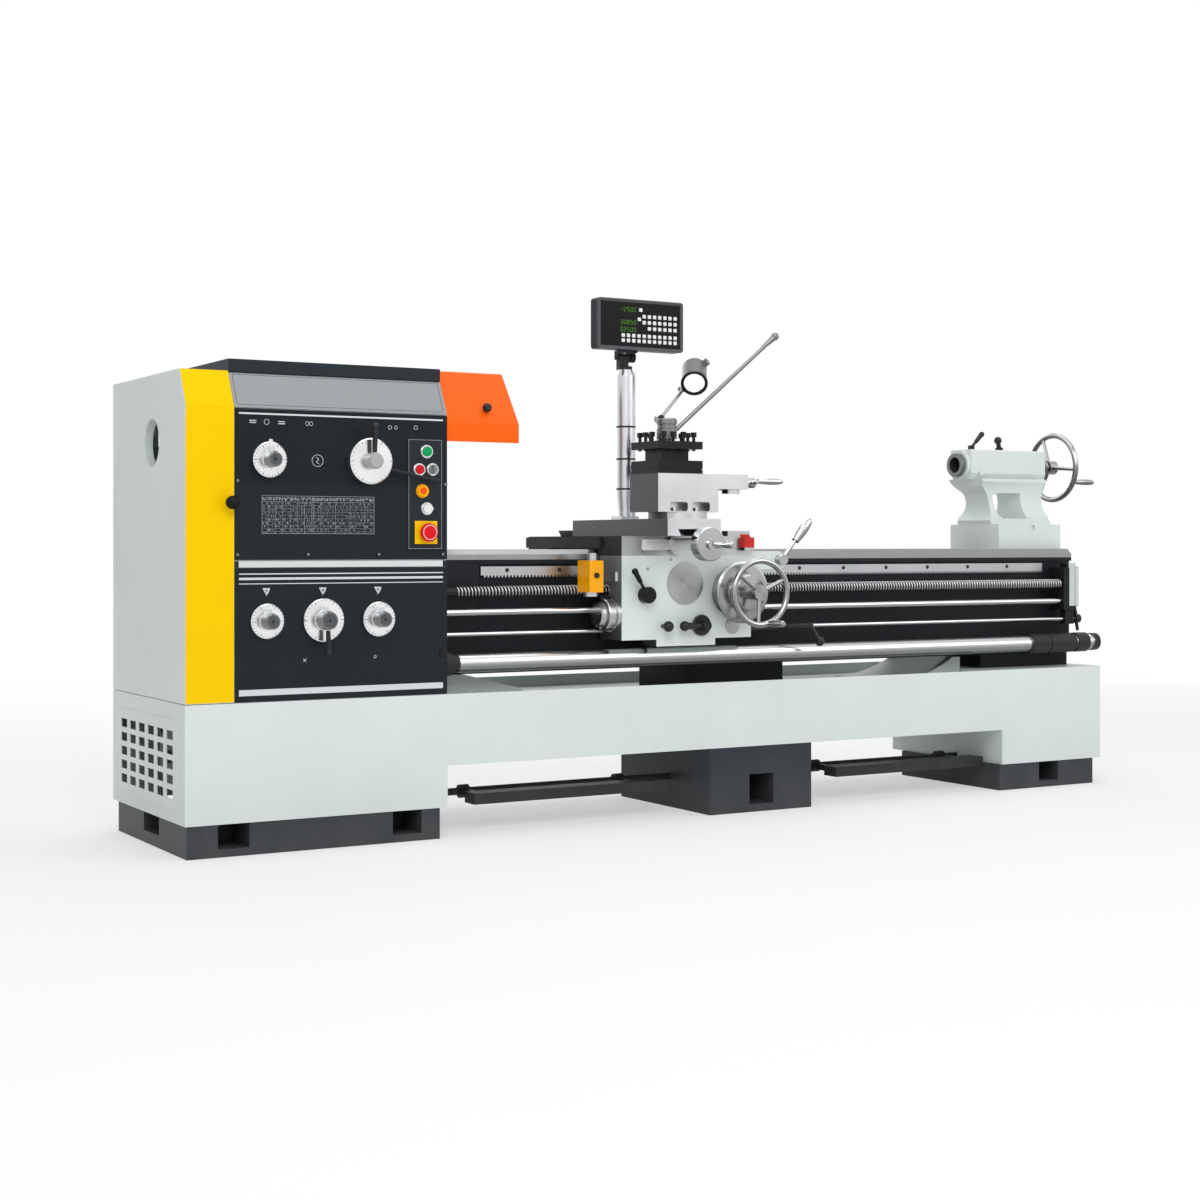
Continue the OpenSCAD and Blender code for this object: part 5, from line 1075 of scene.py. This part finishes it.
class LATHE_OT_leadscrew(bpy.types.Operator):
    """Cuts the leadscrew's thread"""
    bl_idname = "lathe.leadscrew"
    bl_label = "Leadscrew thread"

    def execute(self, context):
        """Radius at angle a and distance x: outer radius less the depth times a trapezoid wave of
        (x / pitch - a / turn)."""
        pitch, depth = detail_values().thread_pitch, detail_values().thread_depth
        low, high, mid = span("leadscrew")
        outer = (high[1] - low[1]) / 2
        core = outer - 0.0035
        start, end = refs()["x1"] + 0.06, span("end_bracket")[0][0] - 0.004
        x = np.arange(start, end, pitch / 10)
        turn = np.linspace(0, TAU, 22, endpoint=False)[:, None]
        phase = (x[None] / pitch - turn / TAU) % 1
        wave = np.clip((np.abs(phase - 0.5) - 0.14) / 0.1, 0, 1)
        flat = np.full((len(turn), 2), core)
        radius = np.hstack([flat, outer - depth * wave, flat])
        xs = np.concatenate([[low[0]], [start], x, [end], [high[0]]])
        grid = np.stack([np.broadcast_to(xs, radius.shape), mid[1] + radius * np.cos(turn),
                         mid[2] + radius * np.sin(turn)], -1)
        # painted shade in the thread's grooves, and a painted reflection band on the thread
        groove_painted_shade = within((0.03, 0.03, 0.032), 0.4, 1.0, centre=mid, axis=0, radius=outer - 0.45 * depth)
        metal = streaked("thread_steel", (0.7, 0.71, 0.72), 0.24, (1, 30, 30), 0.15, painted_reflection=0.5,
                         masks=[groove_painted_shade])
        piece = surface("leadscrew_thread", grid, loop_u=True, cap_v=True, body=body_of("leadscrew"),
                        material=metal, slot="steel")
        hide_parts("leadscrew")
        return {"FINISHED"}


class LATHE_OT_guard(bpy.types.Operator):
    """Bends the chuck guard from sheet, with its hinge tube and knob"""
    bl_idname = "lathe.guard"
    bl_label = "Chuck guard"

    def execute(self, context):
        """The sheet's section is a line of straight runs with an arc at each bend, given its thickness and
        drawn out along X; the hinge tube and the knob are turned profiles."""
        low, high, _ = span("chuck_guard")
        axis_z = refs()["axis_z"]
        length, sheet, tube, bore = high[0] - low[0], 0.0025, 0.012, 0.00605
        hinge_y, hinge_z = high[1] - tube, high[2] - tube
        line = rounded([(hinge_y, high[2]), (-0.155, high[2]), (low[1], axis_z + 0.076),
                        (low[1], axis_z + 0.016)], detail_values().guard_bend, 7)
        points, faces = extrude_sheet(sheet_profile(line, sheet), low[0], high[0])
        paint = painted("guard_paint", finish_values().guard_paint[:], 0.3, 0.14, shine=0.1)
        piece = mesh_object("guard_sheet", points, faces, body="chuck_guard", material=paint,
                            slot="orange")
        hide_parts("chuck_guard")
        edge = tube - 0.001
        section = [(bore, 0), (edge, 0), (tube, 0.001), (tube, length - 0.001), (edge, length),
                   (bore, length)]
        surface("guard_hinge", revolve(section, (low[0], hinge_y, hinge_z), 0), loop_u=True,
                loop_v=True, body="chuck_guard", material=paint, slot="orange")
        out = (0, -0.8746, 0.4848)
        foot = (low[0] + 0.152, -0.2298, hinge_z - 0.1246)
        knob = [(0.0055, 0), (0.0055, 0.026), (0.011, 0.0275), (0.0145, 0.031), (0.015, 0.035),
                (0.0145, 0.040), (0.012, 0.0435), (0.006, 0.045), (0.0015, 0.0452)]
        surface("guard_knob", aimed(turned_profile(knob, 32), foot, out), loop_u=True, cap_v=True,
                body="chuck_guard", material=moulded("knob_plastic", BLACK, 0.2), slot="black")
        return {"FINISHED"}


def key_places():
    """Middle of each key, as shares of the face's width and height: full rows, part rows and two
    single keys."""
    columns = 0.285 + 0.0643 * np.arange(11)
    rows = ((0.85, 0), (0.74, 0), (0.57, 5), (0.44, 4), (0.31, 4))
    return [(c, q) for q, first in rows for c in columns[first:]] + [(0.5, 0.17), (0.482, 0.375)]


def digit_bars():
    """Middle of each bar of the digits, as (share of the width, share of the height, step across, step up),
    and whether it stands upright."""
    patterns = {"0": "abcdef", "1": "bc", "2": "abged", "3": "abgcd", "5": "afgcd", "8": "abcdefg"}
    places = {"a": (0, 1, 0), "g": (0, 0, 0), "d": (0, -1, 0), "b": (0.5, 0.5, 1), "c": (0.5, -0.5, 1),
              "e": (-0.5, -0.5, 1), "f": (-0.5, 0.5, 1)}
    for row, number in ((0.17, "12500"), (0.45, "30850"), (0.61, "02500")):
        for k, digit in enumerate(number):
            for segment in patterns[digit]:
                across, up, upright = places[segment]
                yield 0.27 + 0.04 * k, row, across, up, upright


class LATHE_OT_readout(bpy.types.Operator):
    """Adds the readout's frame, glass, keys and digits"""
    bl_idname = "lathe.readout"
    bl_label = "Readout face"

    def execute(self, context):
        """Keys are superellipsoid caps on a grid; each digit is seven hexagon-ended bars."""
        low, high, _ = span("readout")
        wide, tall = high[0] - low[0] - 2 * READOUT_MARGIN, 0.156
        x0, z1, y = low[0] + READOUT_MARGIN, high[2] - READOUT_MARGIN, low[1] + 0.0028
        body = body_of("readout")
        u, v = np.meshgrid(np.linspace(0, 1, 9), np.linspace(0, 1, 7), indexing="ij")
        face = np.stack([x0 + wide * u, np.full_like(u, y), z1 - tall * v], -1)
        slab = np.concatenate([face, (face + (0, 0.002, 0))[::-1]], 0)
        surface("readout_glass", slab, loop_u=True, cap_v=True, body=body, slot="black", smooth=False,
                material=moulded("readout_glass", (0.004, 0.0045, 0.005), 0.2, 0.02, shine=0.08))

        ring = [(-0.0115, 0.0032), (-0.0105, -0.0004), (-0.0065, -0.0028), (-0.0022, -0.0034),
                (-0.0006, -0.0022), (0.0003, 0.0006), (0.0003, 0.006), (-0.002, 0.006)]
        frame_z = (high[2] - tall - 2 * READOUT_MARGIN, high[2] - 0.0004)
        loop = frame_loop((low[0], high[0]), frame_z, 0.01, [(out, low[1] + back) for out, back in ring])
        surface("readout_frame", loop, loop_u=True, loop_v=True, body=body, slot="slate",
                material=painted("frame_paint", (0.085, 0.092, 0.1), 0.35, shine=0.2))

        half = detail_values().key_size / 2
        at = np.array([(x0 + wide * c, y - 0.001, z1 - tall * q) for c, q in key_places()])
        points, faces = cushion_box(at, (half, 0.0024, half), 6.0, 6, 16)
        mesh_object("readout_keys", points, faces, body=body, slot="white",
                    material=moulded("key_plastic", rgb(236, 238, 236), 0.3, shine=0.15))

        bars = list(digit_bars())
        centres = [(x0 + wide * c + across * 0.0074, y - 0.0003, z1 - tall * q + up * 0.0068)
                   for c, q, across, up, _ in bars]
        points, faces = plates(centres, [(0.0031, 0.0006, 0.0002, bar[-1]) for bar in bars])
        mesh_object("readout_digits", points, faces, smooth=False, body=body, slot="green",
                    material=moulded("digit_green", (0.1, 0.3, 0.03), 0.4, glow=0.3, shine=0.1))
        return {"FINISHED"}


class LATHE_OT_lamp(bpy.types.Operator):
    """Adds the lamp's reflector, lens, bulb and rim"""
    bl_idname = "lathe.lamp"
    bl_label = "Lamp reflector and bulb"

    def execute(self, context):
        """All are turned round the lamp's own axis: the reflector is a bowl with radius
        0.0356 - 0.0255 t - 0.0015 sin(pi t) at a share t of its depth, given a wall; the lens is a dish
        whose height grows with the square of its radius; the bulb is a dome on a short neck."""
        mouth, axis = lamp_mouth()

        def part(name, profile, steps, material, slot, **ends):
            surface(name, aimed(turned_profile(profile, steps), mouth, axis), loop_u=True,
                    body="lamp_head", material=material, slot=slot, **ends)

        t = np.linspace(0, 1, 14)
        bowl = np.column_stack([0.0356 - 0.0255 * t - 0.0015 * np.sin(np.pi * t), 0.0048 + 0.041 * t])
        wall = np.vstack([bowl, (bowl + (0.0006, 0.0))[::-1]])
        shiny = streaked("reflector", (0.9, 0.9, 0.9), 0.12, (3, 3, 3), 0.02, clouds=0.0)
        part("lamp_reflector", wall, 40, shiny, "chrome", loop_v=True)
        glass = moulded("bulb_glass", (0.95, 0.94, 0.9), 0.1, 0.02, glow=0.6)
        a = np.linspace(0.0, 0.0326, 9)
        front = np.column_stack([np.maximum(a, 0.0002), 0.005 + 2.2 * a ** 2])
        lens = np.vstack([front, (front + (0.0, 0.0014))[::-1]])
        part("lamp_lens", lens, 40, glass, "white", cap_v=True)
        a = np.linspace(0.05, np.pi / 2, 10)
        dome = np.column_stack([0.0115 * np.sin(a), 0.022 - 0.0115 * np.cos(a)])
        bulb = np.vstack([dome, [(0.0112, 0.026), (0.008, 0.034), (0.007, 0.046), (0.002, 0.046)]])
        part("lamp_bulb", bulb, 32, glass, "white", cap_v=True)
        rim = [(0.0385, 0.0002), (0.0455, 0.0), (0.0468, 0.0015), (0.0468, 0.0075), (0.0455, 0.009),
               (0.0385, 0.009)]
        part("lamp_rim", rim, 48, moulded("rim_black", BLACK, 0.3), "black", loop_v=True)
        return {"FINISHED"}


class LATHE_OT_collar(bpy.types.Operator):
    """Turns the collar in the end cover's hole"""
    bl_idname = "lathe.collar"
    bl_label = "End cover collar"

    def execute(self, context):
        """A thin ring turned round the spindle's axis, the edges of its left end rounded."""
        left = span("end_cover")[0][0]
        axis = span("spindle")[2]
        outer, depth = COLLAR_RADIUS - 0.0002, 0.026
        inner = outer - 0.003
        profile = [(outer, 0.0004), (outer - 0.0006, 0.0001), (inner + 0.0008, 0.0001),
                   (inner, 0.0008), (inner, depth), (outer, depth)]
        surface("hole_collar", revolve(profile, (left, axis[1], axis[2]), 0, 64), loop_u=True,
                loop_v=True, body="end_cover", slot="light_grey",
                material=painted("collar_paint", finish_values().cover_paint[:], 0.3))
        return {"FINISHED"}


class LATHE_OT_pointer(bpy.types.Operator):
    """Adds the range knob's pointer"""
    bl_idname = "lathe.pointer"
    bl_label = "Range knob's pointer"

    def execute(self, context):
        """A flat superellipsoid tab from the hub to just past the disc's edge."""
        low, high, _ = span("range_knob")
        middle = (low[0] + RANGE_KNOB_RADIUS, high[1] - 0.0242, high[2] - RANGE_KNOB_RADIUS + 0.043)
        points, faces = cushion_box([middle], (0.006, 0.0011, 0.0175), 8.0, 9, 20)
        mesh_object("range_pointer", points, faces, body="range_knob", slot="aluminium",
                    material=painted("pointer_paint", (0.8, 0.81, 0.81), 0.35, shine=0.2))
        return {"FINISHED"}


def seen_rays(net):
    """1 for rays that show the background itself: from the camera, from gloss and through glass."""
    net.add("ShaderNodeLightPath")
    rays = [Sock(net, net.last.outputs["Is " + kind + " Ray"])
            for kind in ("Camera", "Glossy", "Transmission")]
    return total(rays) > 0.5


def lay_floor():
    """Flat square just under the feet: pale where the lamps light it, and white far out."""
    n, reach = 5, 30
    u, v = np.meshgrid(np.linspace(-reach, reach, n), np.linspace(-reach, reach, n), indexing="ij")
    quads = grid_quads(np.arange(n * n).reshape(n, n))
    ground = mesh_object("floor", np.stack([u, v, np.full_like(u, -0.0005)], -1).reshape(-1, 3),
                         quads.tolist(), closed=False, smooth=False)
    net = Net("floor_pale")
    lit = net.add("ShaderNodeBsdfDiffuse", None, {"Color": (0.9, 0.905, 0.91, 1)})
    white = net.add("ShaderNodeEmission", None, {"Color": (1, 1, 1, 1), "Strength": 1.0})
    seen = seen_rays(net)
    x, y, _ = net.place()
    far = net.ramp(((x * x + y * y) ** 0.5) / 12.0, (0.22, 0.45), (0.6, 1.0))
    net.add("ShaderNodeOutputMaterial", None,
            [net.add("ShaderNodeMixShader", None, [seen * far, lit, white])])
    ground.data.materials.append(net.owner)


def surround(scene):
    """World that lights softly and shows as white."""
    scene.world = bpy.data.worlds.new("surroundings")
    sky = Net(scene.world)
    soft, clear = (sky.add("ShaderNodeBackground", None, {"Color": (1, 1, 1, 1), "Strength": level})
                   for level in (0.45, 1.0))
    sky.add("ShaderNodeOutputWorld", None,
            [sky.add("ShaderNodeMixShader", None, [seen_rays(sky), soft, clear])])


def hang_lamp(scene, name, place, aim, size, power):
    """Square area lamp whose back points away from what it aims at."""
    light = bpy.data.lights.new(name, "AREA")
    light.shape, light.size, light.energy = "SQUARE", size, power
    lamp = bpy.data.objects.new(name, light)
    scene.collection.objects.link(lamp)
    back = np.array(place, float) - np.array(aim, float)
    back /= np.linalg.norm(back)
    side = np.cross((0, 1e-3, 1.0), back)
    side /= np.linalg.norm(side)
    turn = np.eye(4)
    turn[:3, :4] = np.column_stack([side, np.cross(back, side), back, place])
    lamp.matrix_world = Matrix(turn.tolist())


def place_camera(scene):
    """Level camera ahead of the headstock's end, at the height of its panels."""
    view = bpy.data.cameras.new("view")
    view.lens, view.sensor_width, view.shift_y = CAMERA_LENS, 36, CAMERA_SHIFT
    view.clip_end = 100
    camera = bpy.data.objects.new("view", view)
    camera.location = CAMERA_PLACE
    camera.rotation_euler = (np.pi / 2, 0, CAMERA_TURN)
    scene.collection.objects.link(camera)
    scene.camera = camera


class LATHE_OT_stage(bpy.types.Operator):
    """Lays the pale floor and sets the camera, the lamps and the white surroundings"""
    bl_idname = "lathe.stage"
    bl_label = "Floor, camera and light"

    def execute(self, context):
        scene = context.scene
        scene.view_settings.view_transform = "Standard"
        lay_floor()
        surround(scene)
        for lamp in LAMPS:
            hang_lamp(scene, *lamp)
        place_camera(scene)
        return {"FINISHED"}


class LATHE_PT_panel(bpy.types.Panel):
    """Lists the lathe's colours, sizes and steps"""
    bl_idname = "LATHE_PT_panel"
    bl_label = "Engine lathe"
    bl_space_type = "VIEW_3D"
    bl_region_type = "UI"
    bl_category = "Lathe"

    def draw(self, context):
        column = self.layout.column()
        for group in (context.scene.lathe_finish, context.scene.lathe_detail):
            for key in group.bl_rna.properties.keys():
                if key not in ("rna_type", "name"):
                    column.prop(group, key)
        for step in STEPS:
            column.operator(step.bl_idname)


STEPS = (LATHE_OT_paint, LATHE_OT_metal, LATHE_OT_controls, LATHE_OT_fascia, LATHE_OT_leadscrew,
         LATHE_OT_guard, LATHE_OT_readout, LATHE_OT_lamp, LATHE_OT_collar, LATHE_OT_pointer,
         LATHE_OT_stage)
CLASSES = (LatheFinish, LatheDetail) + STEPS + (LATHE_PT_panel,)


def register():
    for kind in CLASSES:
        bpy.utils.register_class(kind)
    bpy.types.Scene.lathe_finish = bpy.props.PointerProperty(type=LatheFinish)
    bpy.types.Scene.lathe_detail = bpy.props.PointerProperty(type=LatheDetail)


def unregister():
    del bpy.types.Scene.lathe_detail
    del bpy.types.Scene.lathe_finish
    for kind in reversed(CLASSES):
        bpy.utils.unregister_class(kind)


def main():
    register()
    for step in STEPS:
        group, name = step.bl_idname.split(".")
        getattr(getattr(bpy.ops, group), name)()


if __name__ == "__main__":
    main()
